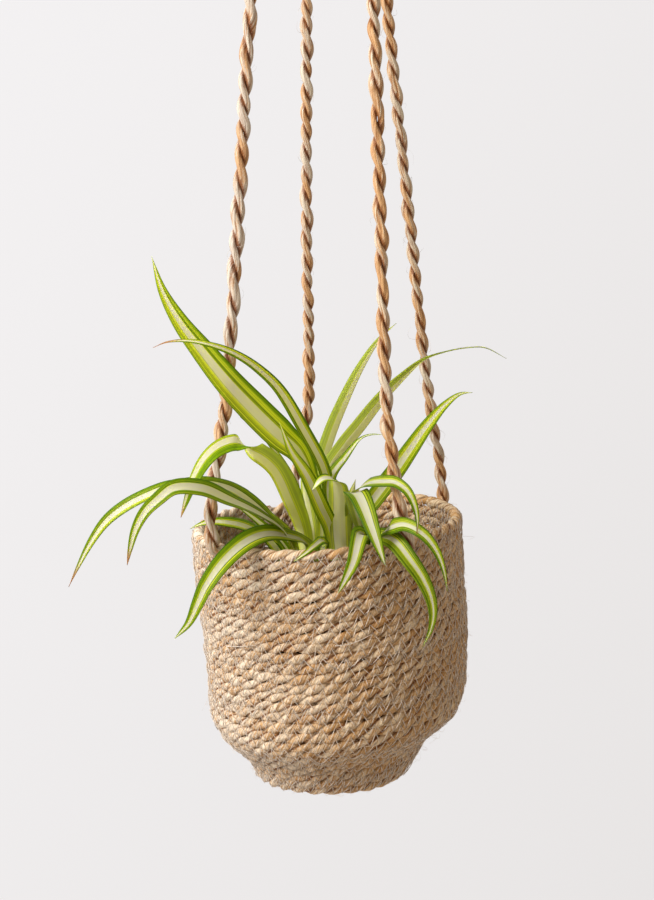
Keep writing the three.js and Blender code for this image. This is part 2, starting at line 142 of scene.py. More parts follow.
# Stray fibres: how they curve, how long and thick they are, and how many of them lie flat. The lengths are
# given by the shape and scale of their random spread and by the shortest one.
HAIR_POINTS = 6
HAIR_SIDES = 3
HAIR_CURL = 0.5
HAIR_LEAST_RISE = 0.4
HAIR_BOW = 2.6
HAIR_BEND = 3.6
HAIR_STRETCH = 0.8
HAIR_RADII = (0.00005, 0.00013)
HAIR_TIP = 0.35
HAIR_TONES = (-0.5, 1)
HAIR_SEED = 7
HAIR_ROOT = 0.0002
BASKET_HAIR_LENGTHS = (3, 0.0014, 0.0025)
BASKET_HAIR_ANGLE = 1.1
# How much painted highlight pales the basket's stray fibres all over, as fine fibres catch the light.
BASKET_HAIR_HIGHLIGHT = 0.45
INSIDE_TURNS = 6
INSIDE_SHARE = 0.35
STEEP_SHARE = 0.2
STEEP_LIFT = 0.6
FLAT_LIFT = 0.16
ROPE_HAIR_LENGTHS = (2.5, 0.002, 0.002)
ROPE_HAIR_LIFT = 0.35
# How much painted highlight pales the ropes' stray fibres all over, as fine fibres catch the light.
ROPE_HAIR_HIGHLIGHT = 0.3
ROPE_HAIR_ROOT = 0.8
ROPE_HAIR_FREE_ENDS = 4

# How cords, blades and soil stray: how far, over which length, and which of the smooth random curves they
# take.
Stray = namedtuple("Stray", "reach over curve")
COIL_SLOW_TWIST = Stray(0.9, 0.05, 1)
COIL_OUTWARD = Stray(0.0006, 0.03, 2)
COIL_UPWARD = Stray(0.0005, 0.04, 3)
COIL_QUICK_TWIST = Stray(0.35, 0.018, 4)
COIL_SWELL = Stray(1, 0.011, 10)
COIL_TONE = Stray(1, 0.016, 20)
ROPE_SLOW_TWIST = Stray(0.8, 0.07, 0)
ROPE_LOOSENESS = Stray(0.5, 0.03, 1)
ROPE_YARN_TWIST = Stray(0.6, 0.04, 4)
ROPE_SWELL = Stray(1, 0.014, 7)
ROPE_TONE = Stray(1, 0.028, 10)
ROPE_QUICK_TWIST = Stray(0.3, 0.021, 13)
BLADE_WAVE = Stray(0.02, 0.017, 0)
SOIL_LARGE_LUMPS = Stray(1, 0.006, 31)
SOIL_CROSS_LUMPS = Stray(1, 0.005, 32)
SOIL_SMALL_LUMPS = Stray(0.5, 0.003, 33)

# The ropes, the knot and the loop

# A cord's two strands are spun from yarns, which stand out in relief. The grooves between the yarns, and the
# creases between the strands, are darkened with painted shade.
STRANDS = 2
YARNS = 4
YARN_RELIEF = 0.1
YARN_UNEVENNESS = 0.04
YARN_GROOVE_SHADE = 0.45
YARN_SHARPNESS = 1.6
ROPE_CREASE_SHADE_FROM = 0.42
ROPE_CREASE_SHADE_OVER = 0.3

# The first rope's random curves and the step to the next rope's, and how many of a path's points are told
# to the frame.
ROPE_SIDES = 16
ROPE_STEP = 0.0015
ROPE_CURVES = (200, 30)

# A rope comes out of the wall, leans on the rim and runs on to the knot. It stands off the wall by a
# distance, and its end lies a little inside it. Depths are under the rim's top.
ROPE_STAND_OFF = 0.0054
ROPE_END_INSIDE = -0.0015
ROPE_UNDER = 0.018
ROPE_CREST = -0.002
DEEPEST_TUCK = 0.026
ROPE_BEND = 0.8
ROPE_RUN_ON = 2.1
ROPE_IN_KNOT = 0.012

# The knot is a cord that is wound into a tapered coil round a core, given as (radius, height) pairs.
KNOT_AXIS = (-0.005, 0)
KNOT_BOTTOM = 0.780
KNOT_HEIGHT = 0.034
KNOT_TURNS = 5
KNOT_ROWS = 5.3
KNOT_TAPER = 0.18
KNOT_POINTS = 420
KNOT_LAY = 0.022
KNOT_CURVE = 400
KNOT_CORD_SIDES = 10
CORE_PROFILE = ((0.0105, 0.003), (0.0112, 0.012), (0.0095, 0.032))
CORE_SIDES = 32
CORE_FIBRE = (0, 0.01, 0)
CORE_SHADE = (0.9, 0, 0)

# The right half of the loop, as (across, height over its foot) pairs, and its top.
LOOP_HALF = ((0.006, 0.0005), (0.007, 0.006), (0.015, 0.022), (0.013, 0.035), (0.0075, 0.044))
LOOP_TOP = 0.046
LOOP_STEP = 0.001
LOOP_LAY = 0.03
LOOP_CURVE = 500
LOOP_SIDES = 12
LOOP_SIZE = 0.86

# Each rope: the depth at which it has gone into the wall, its angles under and over the rim, the points
# that it passes above the rim, its place under the knot, its thickness against the others, and the
# length in which a strand goes round it once.
Rope = namedtuple("Rope", "tuck low rim path top size lay")
ROPES = {
    "rope_front_left": Rope(
        0.004, -139.5, -140, ((-0.0703, -0.066, 0.098), (-0.0603, -0.052, 0.236), (-0.0518, -0.039, 0.37)),
        (-0.008, -0.004), 1.06, 0.0376,
    ),
    "rope_front_right": Rope(
        0.013, -55.2, -58,
        ((0.043, -0.084, 0.073), (0.0405, -0.079, 0.101), (0.0358, -0.063, 0.236), (0.031, -0.048, 0.369)),
        (0.008, -0.005), 1.02, 0.038,
    ),
    "rope_back_right": Rope(
        0.009, 31, 32.3, ((0.077, 0.051, 0.081), (0.0589, 0.039, 0.231), (0.0423, 0.028, 0.373)),
        (0.006, 0.006), 0.94, 0.034,
    ),
    "rope_back_left": Rope(
        0.011, 107, 104.6,
        ((-0.0145, 0.095, 0.07), (-0.0138, 0.086, 0.11), (-0.0152, 0.073, 0.199), (-0.0146, 0.053, 0.374)),
        (-0.006, 0.006), 0.97, 0.031,
    ),
}

# Loose ends of the sewing thread on the front of the wall, as they are seen: across and up from the
# rim's middle, at its distance.
THREAD_ENDS = (
    ((-0.0739, -0.0937), (-0.0633, -0.0939), (-0.0518, -0.093)),
    ((0.0059, -0.0935), (0.0154, -0.0924), (0.025, -0.0891), (0.0335, -0.0845)),
    ((-0.0478, -0.053), (-0.042, -0.0518), (-0.036, -0.0516)),
)

# The leaves

# A leaf's points are given as they are seen from the front: across and up from the rim's middle, at its
# distance, and nearer, the distance by which the point lies in front of that middle.
EYE_DISTANCE = 1.4
EYE_ELEVATION = math.radians(12.9)
EYE_AIM = 0.0507
TO_EYE = np.array((0, -math.cos(EYE_ELEVATION), math.sin(EYE_ELEVATION)))
EYE = EYE_DISTANCE * TO_EYE
PITCH = EYE_ELEVATION - math.atan(EYE_AIM / EYE_DISTANCE)
AHEAD = np.array((0, math.cos(PITCH), -math.sin(PITCH)))
ABOVE = np.array((0, math.sin(PITCH), math.cos(PITCH)))
FOCAL_PIXELS = 1903
FRAME_PIXELS = (654, 900)
SENSOR = 36

# A crown is a round stub, given as (radius, height) pairs. The blades' feet stand close round its axis.
CROWNS = {"left": (-0.012, -0.006), "right": (0.014, -0.010), "back": (0.003, 0.019)}
CROWN_PROFILE = (
    (0.004, -0.074), (0.0085, -0.066), (0.009, -0.057), (0.0088, -0.052), (0.0072, -0.046), (0.003, -0.043),
)
CROWN_SIDES = 24
CROWN_FOOT = -0.052
CROWN_REACH = 0.005
CROWN_LOOK = {"blade": (0.0, 0.0, 3.0), "habit": (0.7, 0.0, 0.5), "face": (1.0, 0.0, 1.0)}

# A blade: where it is widest along its length, how its outline tapers, how far it is folded at its foot
# and how much of that it loses, and how much thinner its edges are.
WIDEST_AT = 0.45
LEAST_WIDTH = 0.0004
SLIM_FOOT = 0.4
SLIM_OVER = 0.25
Taper = namedtuple("Taper", "bend blunt")
PLAIN_TAPER = Taper(2, 1)
FULL_TAPER = Taper(2.3, 0.8)
FOLD_AT_FOOT = 0.55
FOLD_LOSS = 0.33
MIDRIB_ROUNDING = 0.012
RIPPLE_LENGTH = 0.021
EDGE_THINNING = 0.55
THINNED_TIP = (0.002, 0.3)
BLADE_CURVES = (600, 40)
TONE_STEP = 0.37
TONE_RANGE = 7

# The blades of the back rosette, which fan out over the back of the rim and hang behind the basket: how
# far each ends to the right, and how far it reaches out and down. Their widths and stripes take turns, and
# every second one is a little dry at its tip.
BACK_BLADES = (
    (-0.055, 0.018), (-0.032, 0.030), (-0.010, 0.024), (0.012, 0.032), (0.034, 0.020), (0.055, 0.028),
)
BACK_KINDS = ((0.011, 0.34), (0.013, 0.39), (0.015, 0.44))
BACK_DRY = 0.03
BACK_FALL = 0.040
BACK_START = (-0.008, 0.05)

# The points of such a blade: how far behind its crown each lies, its share of the way to the right, its
# share of the reach, its height, its share of the fall, and how much higher it lies on each next blade.
BACK_ARCH = (
    (0.028, 0, 0, -0.012, 0, 0),
    (0.058, 0, 0, 0.003, 0, 0.0007),
    (0.086, 0, 0, 0.005, 0, 0.0007),
    (0.108, 0.15, 0.25, -0.006, 0, 0),
    (0.117, 0.5, 0.5, -0.006, 0.5, 0),
    (0.120, 1, 0.5, 0, 1, 0),
)

# A leaf's width, how its upper face turns along it (0 is up, 1 to the front, -1 away from it), its points
# from foot to tip, half its stripe's share of the width, the stripe's shift to one side, how lime the
# blade is beside it, the share that is dry, its waviness, whether it keeps its width for longer, whether
# its lower part is drawn in, and how bright it is against the others: painted light on the blades that lie
# in shade, painted shade on the blades that the lamp lights most.
Leaf = namedtuple(
    "Leaf", "width faces path stripe aside lime dry ripple full slim bright",
    defaults=(0.36, 0, 0.5, 0, 0, False, False, 1),
)
LEAVES = {
    "left": (
        Leaf(0.023, (0.6, 1), (
            (-0.004, 0.001, 0.014), (-0.013, 0.034, 0.03), (-0.0215, 0.05, 0.04), (-0.0335, 0.061, 0.05),
            (-0.052, 0.079, 0.061), (-0.072, 0.1, 0.073), (-0.091, 0.123, 0.08),
            (-0.108, 0.145, 0.085), (-0.121, 0.168, 0.088), (-0.129, 0.193, 0.09),
        ), stripe=0.3, lime=0.9, slim=True, bright=1.2),
        Leaf(0.0145, (-0.9, -1, -1, -1, -1, -1, -1, 0.8, 0.9, 0.9, 0.9), (
            (-0.0165, -0.012, 0.014), (-0.0258, 0.015, 0.038), (-0.0368, 0.0375, 0.054),
            (-0.05, 0.0485, 0.066), (-0.067, 0.056, 0.079), (-0.0795, 0.052, 0.085),
            (-0.089, 0.0435, 0.09), (-0.0975, 0.029, 0.094), (-0.1035, 0.013, 0.096),
            (-0.1075, 0.001, 0.097),
        ), stripe=0.36, aside=0.4, dry=0.03, ripple=0.06, full=True, bright=1.28),
        Leaf(0.013, (0.3, 0.5, 0.6, 0.3, 0.8, 0.8), (
            (-0.03, -0.01, 0.036), (-0.043, 0.0015, 0.052), (-0.057, 0.0135, 0.066),
            (-0.07, 0.022, 0.078), (-0.084, 0.026, 0.087), (-0.097, 0.0265, 0.092),
            (-0.116, 0.024, 0.097), (-0.132, 0.018, 0.099), (-0.1485, 0.0095, 0.1),
            (-0.162, -0.001, 0.1), (-0.173, -0.016, 0.098), (-0.184, -0.037, 0.097),
            (-0.19, -0.05, 0.096),
        ), stripe=0.4, dry=0.05, bright=0.94),
        Leaf(0.013, (0.5, 0.5, 0.5, 0.9, 0.9), (
            (-0.031, -0.01, 0.048), (-0.048, 0.003, 0.068), (-0.073, 0.015, 0.092),
            (-0.093, 0.023, 0.106), (-0.113, 0.023, 0.113), (-0.124, 0.015, 0.115),
            (-0.134, 0.005, 0.115), (-0.141, -0.008, 0.114), (-0.145, -0.023, 0.112),
            (-0.147, -0.034, 0.111),
        ), stripe=0.42, dry=0.04, full=True, slim=True, bright=0.94),
        Leaf(0.012, (0.4, 0.7), (
            (-0.042, -0.016, 0.014), (-0.0545, -0.008, 0.024), (-0.061, -0.005, 0.03),
            (-0.073, -0.0025, 0.038), (-0.084, -0.002, 0.042), (-0.0935, -0.004, 0.044),
            (-0.101, -0.0075, 0.046),
        )),
        Leaf(0.015, (0.4, 0.9), (
            (-0.015, -0.019, 0.026), (-0.028, -0.0125, 0.046), (-0.046, -0.011, 0.07),
            (-0.061, -0.0175, 0.087), (-0.077, -0.032, 0.101), (-0.089, -0.049, 0.107),
            (-0.095, -0.062, 0.109), (-0.102, -0.077, 0.109), (-0.112, -0.088, 0.109),
        ), stripe=0.33, full=True, bright=0.9),
        Leaf(0.008, (0.5, 0.6), (
            (-0.031, -0.021, 0.008), (-0.048, -0.004, 0.01), (-0.069, 0.012, 0.016),
        )),
        Leaf(0.006, (0.5, 0.5), (
            (-0.02, 0.014, 0.004), (-0.043, 0.056, 0.018), (-0.064, 0.075, 0.028),
        )),
        Leaf(0.009, (0.5, 0.9), (
            (-0.003, -0.016, 0.078), (-0.0095, -0.02, 0.096), (-0.0155, -0.025, 0.104),
            (-0.0245, -0.0315, 0.106),
        ), full=True),
        Leaf(0.012, (-0.9, -0.9), (
            (-0.012, -0.012, -0.003), (-0.014, 0.003, -0.008), (-0.016, 0.02, -0.01),
            (-0.019, 0.036, -0.009),
        ), stripe=0.5),
    ),
    "right": (
        Leaf(0.0095, (0.7, 0.7), (
            (0.002, 0.014, 0.014), (-0.002, 0.036, 0.03), (-0.018, 0.067, 0.052),
            (-0.035, 0.095, 0.068), (-0.049, 0.109, 0.079), (-0.065, 0.12, 0.09),
            (-0.082, 0.127, 0.098), (-0.102, 0.131, 0.103), (-0.118, 0.13, 0.105),
            (-0.128, 0.126, 0.106),
        ), stripe=0.34, dry=0.05, bright=1.15),
        Leaf(0.012, (0.8, 0.8), (
            (0.003, -0.008, 0.028), (-0.004, 0.008, 0.041), (-0.015, 0.032, 0.056),
            (-0.027, 0.051, 0.067), (-0.035, 0.071, 0.074),
        ), stripe=0.3, lime=0.9, bright=1.25),
        Leaf(0.01, (-0.8, -0.9), (
            (-0.005, 0.014, 0.002), (-0.004, 0.042, 0), (0.002, 0.063, 0.002),
            (0.012, 0.087, 0.008), (0.024, 0.111, 0.014), (0.038, 0.132, 0.02),
            (0.051, 0.144, 0.026),
        ), stripe=0.42, aside=-0.45, lime=0.5),
        Leaf(0.011, (-0.8, -0.8, -0.4, 0.2), (
            (0.002, -0.001, 0.008), (0, 0.034, 0.01), (0.012, 0.054, 0.012),
            (0.024, 0.069, 0.016), (0.04, 0.089, 0.022), (0.055, 0.104, 0.027),
            (0.071, 0.117, 0.031), (0.087, 0.123, 0.034), (0.103, 0.126, 0.036),
            (0.116, 0.126, 0.038), (0.132, 0.118, 0.04),
        ), stripe=0.5, aside=-0.42, lime=0.35),
        Leaf(0.01, (0.7, 0.4), (
            (0.006, -0.008, 0.018), (0.002, 0.028, 0.024), (0.014, 0.046, 0.03),
            (0.025, 0.059, 0.038), (0.033, 0.062, 0.046), (0.041, 0.062, 0.052),
        )),
        Leaf(0.014, (0.8, 0.9), (
            (0.013, -0.015, 0), (0.035, 0.015, 0), (0.051, 0.036, 0.002),
            (0.062, 0.052, 0.006), (0.074, 0.069, 0.01), (0.087, 0.084, 0.014),
            (0.098, 0.092, 0.017), (0.107, 0.093, 0.02),
        ), stripe=0.3, lime=0.7),
        Leaf(0.0135, (0.3, 0.8), (
            (0.015, -0.008, 0.022), (0.02, 0.018, 0.05), (0.028, 0.0255, 0.072),
            (0.039, 0.0275, 0.093), (0.051, 0.0265, 0.106), (0.059, 0.0205, 0.113),
            (0.064, 0.011, 0.117), (0.0665, -0.001, 0.119), (0.066, -0.013, 0.119),
        ), stripe=0.34, dry=0.03, slim=True, bright=0.75),
        Leaf(0.017, (-0.9, -0.9, -0.9, -0.7, -0.3, 0.4, 0.9, 1, 1), (
            (0.025, -0.015, 0.026), (0.0247, 0.002, 0.046), (0.0222, 0.0135, 0.058),
            (0.0205, 0.0195, 0.07), (0.0235, 0.0178, 0.08), (0.028, 0.0085, 0.09),
            (0.033, -0.0057, 0.1), (0.039, -0.023, 0.108), (0.043, -0.0345, 0.111),
        ), stripe=0.42, full=True, slim=True, bright=0.8),
        Leaf(0.017, (-0.9, -0.9, 0, 0.6), (
            (0.009, -0.004, 0.03), (0.0092, 0.01, 0.036), (0.0084, 0.021, 0.043),
            (0.006, 0.0285, 0.05), (-0.0035, 0.0295, 0.058), (-0.011, 0.021, 0.062),
        ), stripe=0.5, full=True, bright=1.2),
        Leaf(0.012, (0, 0.1, 0.6, 1, 1), (
            (0.024, -0.019, 0.044), (0.0385, -0.0115, 0.074), (0.0475, -0.006, 0.097),
            (0.0565, -0.004, 0.109), (0.0655, -0.0075, 0.117), (0.0745, -0.015, 0.121),
            (0.0815, -0.0255, 0.123), (0.086, -0.038, 0.124), (0.0885, -0.053, 0.123),
        ), stripe=0.28, slim=True, bright=0.75),
        Leaf(0.014, (0.4, 1), (
            (0.028, -0.016, 0.062), (0.039, -0.0125, 0.081), (0.05, -0.017, 0.098),
            (0.0605, -0.03, 0.109), (0.0695, -0.043, 0.113), (0.076, -0.0575, 0.115),
            (0.078, -0.07, 0.115), (0.076, -0.082, 0.114), (0.07, -0.095, 0.113),
        ), stripe=0.22, lime=0.7, slim=True, bright=0.72),
        Leaf(0.014, (0.4, 1), (
            (0.0245, -0.0195, 0.07), (0.0245, -0.0112, 0.09), (0.0226, -0.018, 0.102),
            (0.0195, -0.031, 0.108), (0.015, -0.0415, 0.11), (0.008, -0.055, 0.111),
        ), stripe=0.4, full=True, bright=0.8),
        Leaf(0.012, (-0.9, -0.9), (
            (0.012, -0.012, 0.002), (0.015, 0.003, 0), (0.018, 0.018, -0.004),
            (0.021, 0.029, -0.008),
        ), stripe=0.5),
    ),
}

# The pot and its soil

POT_AXIS = (0.003, 0)
POT_SIDES = 96
POT_FOOT_CHAMFER = 0.001
POT_FLOOR = 0.002
RIDGES = 4
RIDGE_OVER_FOOT = 0.02
RIDGE_UNDER_TOP = 0.024
RIDGE_SHAPE = ((0, -0.001), (-0.0005, 0), (0, 0.001))
LIP_HEIGHT = 0.004
LIP_STEP = 0.0004
LIP_ROUNDING = 0.8
LIP_POINTS = 9
INSIDE_POINTS = 6
DRAINS = 4
DRAIN_RING = 0.027
DRAIN_RADIUS = 0.005
DRAIN_DRILL = (-0.004, 0.006)
DRAIN_SIDES = 24

# The soil's side, as (share of its radius, depth under its top) pairs, and the rings over its top.
SOIL_SIDES = 120
SOIL_FOOT = 0.62
SOIL_EDGE = ((0.99, 0.006), (1.0, 0.002))
SOIL_RINGS = (0.985, 0.01, 44)
SOIL_LUMP = 0.0012
SOIL_SLANT = 2.3
SOIL_SEED = 5
CRUMB_AREA = 0.95
CRUMB_LIFT = 0.0006
CRUMB_SIZES = (0.0006, 0.0022)
GRIT_AREA = 0.9
GRIT_LIFT = 0.0012
GRIT_COUNT = 70
GRIT_SIZES = (0.0006, 0.0016)
STONE_JITTER = (0.7, 1.3)
STONE_FACES = ((0, 1, 3, 2), (4, 6, 7, 5), (0, 4, 5, 1), (2, 3, 7, 6), (0, 2, 6, 4), (1, 5, 7, 3))

# The stage

# One soft round lamp, and a floor that curves up into a round wall. The backdrop glows by itself, less
# towards one direction and warmer towards another.
LAMP_PLACE = (-1.65, -1.0, 1.25)
LAMP_SIZE = 1.4
STAGE_HOLE = 0.001
STAGE_RADIUS = 2.0
COVE_RADIUS = 3
COVE_START = 0.05
STAGE_TOP = 7.0
STAGE_SIDES = 96
COVE_POINTS = 24
BACKDROP_GREY = (0.06, 0.06, 0.06, 1)
BACKDROP_GLOW = 0.95
DIMMER_TOWARDS = (0.23, 0, -0.16)
DIMMER_RANGE = (-0.5, 1.1)
SHADED_TOWARDS = (0.7, -0.7, 0)
SHADED_RANGE = (-2.2, 2.4)

# Random and smooth curves, the least length that is divided by, and from where a tube counts as upright

CURVE_KNOTS = 8192
CURVE_LEAD = 512
CURVE_POINTS = 32
TINY = 1e-12
UPRIGHT = 0.8


# Settings that a user would change

def length(name, description, default):
    return FloatProperty(
        name=name, description=description, default=default, min=0, precision=5, unit="LENGTH",
    )


def share(name, description, default):
    return FloatProperty(name=name, description=description, default=default, min=0, max=1)


def colour(name, description, red, green, blue):
    """A colour setting from the values that a paint chart would give, 0 to 255."""
    linear = [((v / 255 + 0.055) / 1.055) ** 2.4 for v in (red, green, blue)]
    return FloatVectorProperty(
        name=name, description=description, default=linear, size=3, min=0, max=1, subtype="COLOR",
    )


class BasketSettings(PropertyGroup):
    row_pitch: length("Row pitch", "Distance between two coiled rows", 0.0074)
    across: length("Cord", "Diameter of the coiled cord", 0.0084)
    strand: length("Strand", "Diameter of one of the cord's two strands", 0.0056)
    lay: length("Lay length", "Length in which a strand goes round the cord once", 0.0258)
    flatness: FloatProperty(
        name="Flatness", description="Height of a row against its depth", default=1.12, min=1,
    )
    uneven: share("Unevenness", "How much thicker one strand is than the other", 0.12)
    lumpy: share("Lumps", "How much a strand swells and shrinks along the cord", 0.2)
    patchy: share("Patches", "How much the tone changes along a strand", 0.07)
    streaky: share("Streaks", "How dark the lines between the fibres are", 0.42)
    yarn_lay: length("Yarn lay", "Length in which the fibres go round a strand once", 0.021)
    stitch: length("Stitch", "Distance between two points of the zigzag stitching", 0.005)
    thread: length("Thread", "Diameter of the sewing thread", 0.0006)
    fibres: IntProperty(name="Fibres", description="Number of stray fibres on it", default=5200, min=0)
    pale: colour("Pale jute", "Colour of the brightest fibres", 232, 207, 170)
    tan: colour("Tan jute", "Colour of most fibres", 197, 148, 88)
    # The next colour is the dark fibres' and patches' own colour, and also the painted shade in the creases.
    brown: colour("Brown jute", "Colour in the creases", 134, 76, 26)
    # The next colour is a painted highlight, mixed in on the side towards the lamp.
    painted_highlight: colour("Bleached jute", "Colour of the side that has faced the light", 242, 230, 212)
    thread_tint: colour("Thread colour", "Colour of the sewing thread", 208, 192, 174)


class RopeSettings(PropertyGroup):
    across: length("Rope", "Diameter of a rope", 0.0094)
    strand: length("Strand", "Diameter of one of a rope's two strands", 0.005)
    uneven: share("Unevenness", "How much thicker one strand is than the other", 0.22)
    lumpy: share("Lumps", "How much a strand swells and shrinks along the rope", 0.17)
    patchy: share("Patches", "How much the tone changes along a strand", 0.14)
    streaky: share("Streaks", "How dark the lines between the fibres are", 0.6)
    yarn_lay: length("Yarn lay", "Length in which the fibres go round a strand once", 0.026)
    fibres: IntProperty(name="Fibres", description="Number of stray fibres on each", default=90, min=0)
    pale: colour("Pale rope", "Colour of the brightest fibres", 208, 192, 167)
    tan: colour("Tan rope", "Colour of most fibres", 202, 156, 106)
    # The next colour is the dark fibres' and patches' own colour, and also the painted shade in the creases.
    brown: colour("Brown rope", "Colour in the creases", 124, 68, 25)
    # The next colour is a painted highlight, mixed in on the side towards the lamp.
    painted_highlight: colour("Bleached rope", "Colour of the side that has faced the light", 213, 201, 187)


class LeafSettings(PropertyGroup):
    thickness: length("Thickness", "Thickness of a blade at its midrib", 0.0006)
    step: length("Step", "Distance between two sections of a blade", 0.0015)
    columns: IntProperty(name="Columns", description="Points across one face of a blade", default=11, min=3)
    cream: colour("Cream", "Colour of the middle stripe", 204, 201, 178)
    lime: colour("Lime", "Colour of the fine lines beside the stripe", 214, 217, 56)
    young: colour("Young", "Colour towards which a blade turns near its foot", 219, 220, 112)
    green: colour("Green", "Colour of the margins", 106, 134, 2)
    deep: colour("Deep green", "Colour of the darker veins of the margins", 56, 92, 0)
    dry: colour("Dry tip", "Colour of a tip that has dried", 150, 104, 62)


class PotSettings(PropertyGroup):
    top: length("Top", "Depth of the pot's lip under the basket's rim", 0.048)
    top_radius: length("Top radius", "Radius of the pot at its lip", 0.069)
    foot_radius: length("Foot radius", "Radius of the pot at its foot", 0.043)
    wall: length("Wall", "Thickness of the pot's wall", 0.0015)
    soil_top: length("Soil", "Depth of the soil under the basket's rim", 0.057)
    crumbs: IntProperty(name="Crumbs", description="Number of loose crumbs of soil", default=900, min=0)
    plastic: colour("Plastic", "Colour of the pot", 44, 41, 38)
    earth: colour("Earth", "Colour of the soil", 66, 48, 36)
    grit: colour("Grit", "Colour of the pale grains in the soil", 214, 206, 192)


class StageSettings(PropertyGroup):
    floor_drop: length("Floor drop", "Distance from the basket's foot down to the floor", 2.2)
    lit: colour("Lit backdrop", "Colour of the wall on its bright side", 245, 243, 244)
    dim: colour("Dim backdrop", "Colour of the wall to the right and below", 228, 225, 224)
    shaded: colour("Shaded backdrop", "Colour of the wall that faces away from the light", 190, 178, 164)
    key: FloatProperty(name="Key light", description="Power of the soft light", default=69, unit="POWER")
    sky: FloatProperty(name="Sky", description="Brightness overhead", default=0.45, min=0)


# Numbers

def unit(vectors):
    """The vectors at length one."""
    lengths = np.linalg.norm(vectors, axis=-1, keepdims=True)
    return vectors / np.maximum(lengths, TINY)


def ease(x):
    """A smooth step from 0 to 1, where x goes from 0 to 1."""
    x = np.clip(x, 0, 1)
    return x * x * (3 - 2 * x)


def wander(places, wavelength, seed):
    """A smooth random curve between -1 and 1 at the places given."""
    knots = np.random.default_rng(seed).uniform(-1, 1, CURVE_KNOTS)
    steps = np.asarray(places) / wavelength + CURVE_LEAD
    first = np.floor(steps).astype(int)
    part = ease(steps - first)
    return knots[first % CURVE_KNOTS] * (1 - part) + knots[(first + 1) % CURVE_KNOTS] * part


def stray(places, kind, start=0):
    """How far something strays at the places given. Each start gives other random curves."""
    return kind.reach * wander(places, kind.over, kind.curve + start)


def walked(points):
    """The distance walked along a row of points, at each of them."""
    return np.append(0, np.cumsum(np.linalg.norm(np.diff(points, axis=0), axis=1)))


def evenly(points, spacing):
    """Points at an even spacing along a row of points."""
    along = walked(points)
    places = np.linspace(0, along[-1], max(2, round(along[-1] / spacing) + 1))
    return np.stack([np.interp(places, along, axis) for axis in points.T], axis=1)


def curve_through(points, spacing):
    """Evenly spaced points on a smooth curve through the points given."""
    p = np.array(points, float)
    p = np.vstack((2 * p[0] - p[1], p, 2 * p[-1] - p[-2]))
    t = np.linspace(0, 1, CURVE_POINTS, endpoint=False)[:, None]
    dense = []
    for a, b, c, d in zip(p, p[1:], p[2:], p[3:]):
        ab, bc, cd = (math.sqrt(np.linalg.norm(v)) for v in (b - a, c - b, d - c))
        leaving = ((b - a) / ab - (c - a) / (ab + bc) + (c - b) / bc) * bc
        arriving = ((c - b) / bc - (d - b) / (bc + cd) + (d - c) / cd) * bc
        bend = 3 * (c - b) - 2 * leaving - arriving
        twist = 2 * (b - c) + leaving + arriving
        dense.append(b + leaving * t + bend * t**2 + twist * t**3)
    return evenly(np.vstack((*dense, p[-2:-1])), spacing)


# Meshes

class Skin:
    """Collects closed skins over rows of points, and the values that their points carry."""

    def __init__(self):
        self.points = []
        self.faces = []
        self.data = {}
        self.count = 0

    def add(self, points, faces, **data):
        """Adds plain points and faces, and a vector of three values for each point."""
        self.points.append(points)
        self.faces.extend((np.asarray(faces) + self.count).tolist())
        for name, values in data.items():
            self.data.setdefault(name, []).append(values)
        self.count += len(points)

    def tube(self, rows, **data):
        """Adds a tube over rows of points, which run round it anticlockwise as seen from its far end."""
        steps, sides = rows.shape[:2]
        first = np.arange((steps - 1) * sides).reshape(-1, sides)
        second = np.roll(first, -1, axis=1)
        faces = np.stack((first, second, second + sides, first + sides), axis=-1).reshape(-1, 4)
        flat = {name: values.reshape(-1, 3) for name, values in data.items()}
        start = self.count
        self.add(rows.reshape(-1, 3), faces, **flat)
        ring = np.arange(sides)
        self.faces.append((start + ring[::-1]).tolist())
        self.faces.append((start + (steps - 1) * sides + ring).tolist())

    def tubes(self, paths, radii, sides, **data):
        """Adds a thin round tube along each path. paths has the shape (tubes, points, 3)."""
        tangent = unit(np.gradient(paths, axis=1))
        upright = np.abs(tangent[:, :1, 2:]) > UPRIGHT
        hint = np.where(upright, np.array((1.0, 0, 0)), np.array((0, 0, 1.0)))
        side = unit(np.cross(hint, tangent))
        up = np.cross(tangent, side)
        angle = np.linspace(0, 2 * np.pi, sides, endpoint=False)[:, None]
        ring = side[:, :, None] * np.cos(angle) + up[:, :, None] * np.sin(angle)
        rows = paths[:, :, None] + ring * np.asarray(radii)[..., None, None]
        for k, tube in enumerate(rows):
            self.tube(tube, **{name: np.broadcast_to(v[k], tube.shape) for name, v in data.items()})

    def piece(self, name, material, slot, *nodes):
        """Makes the piece: it rides on the frame, takes the material given and stands for the nodes named.
        slot is not used.
        """
        mesh = bpy.data.meshes.new(name)
        mesh.from_pydata(np.concatenate(self.points).tolist(), [], self.faces)
        for key, values in self.data.items():
            layer = mesh.attributes.new(key, "FLOAT_VECTOR", "POINT")
            layer.data.foreach_set("vector", np.concatenate(values).astype(np.float32).ravel())
        mesh.shade_smooth()
        mesh.materials.append(material)
        made = bpy.data.objects.new(name, mesh)
        bpy.context.scene.collection.objects.link(made)
        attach(made, "root")
        if nodes:
            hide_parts(*nodes)
        return made


def turned(skin, profile, sides, axis, **data):
    """Adds a round body about an upright axis, from (radius, height) pairs that run from foot to top.

    All its points carry the same data.
    """
    angle = np.linspace(0, 2 * np.pi, sides, endpoint=False)
    rows = [
        np.stack((axis[0] + r * np.cos(angle), axis[1] + r * np.sin(angle), np.full(sides, z)), axis=1)
        for r, z in profile
    ]
    carried = {name: np.broadcast_to(values, (len(rows), sides, 3)) for name, values in data.items()}
    skin.tube(np.array(rows) + RIM, **carried)


# Materials

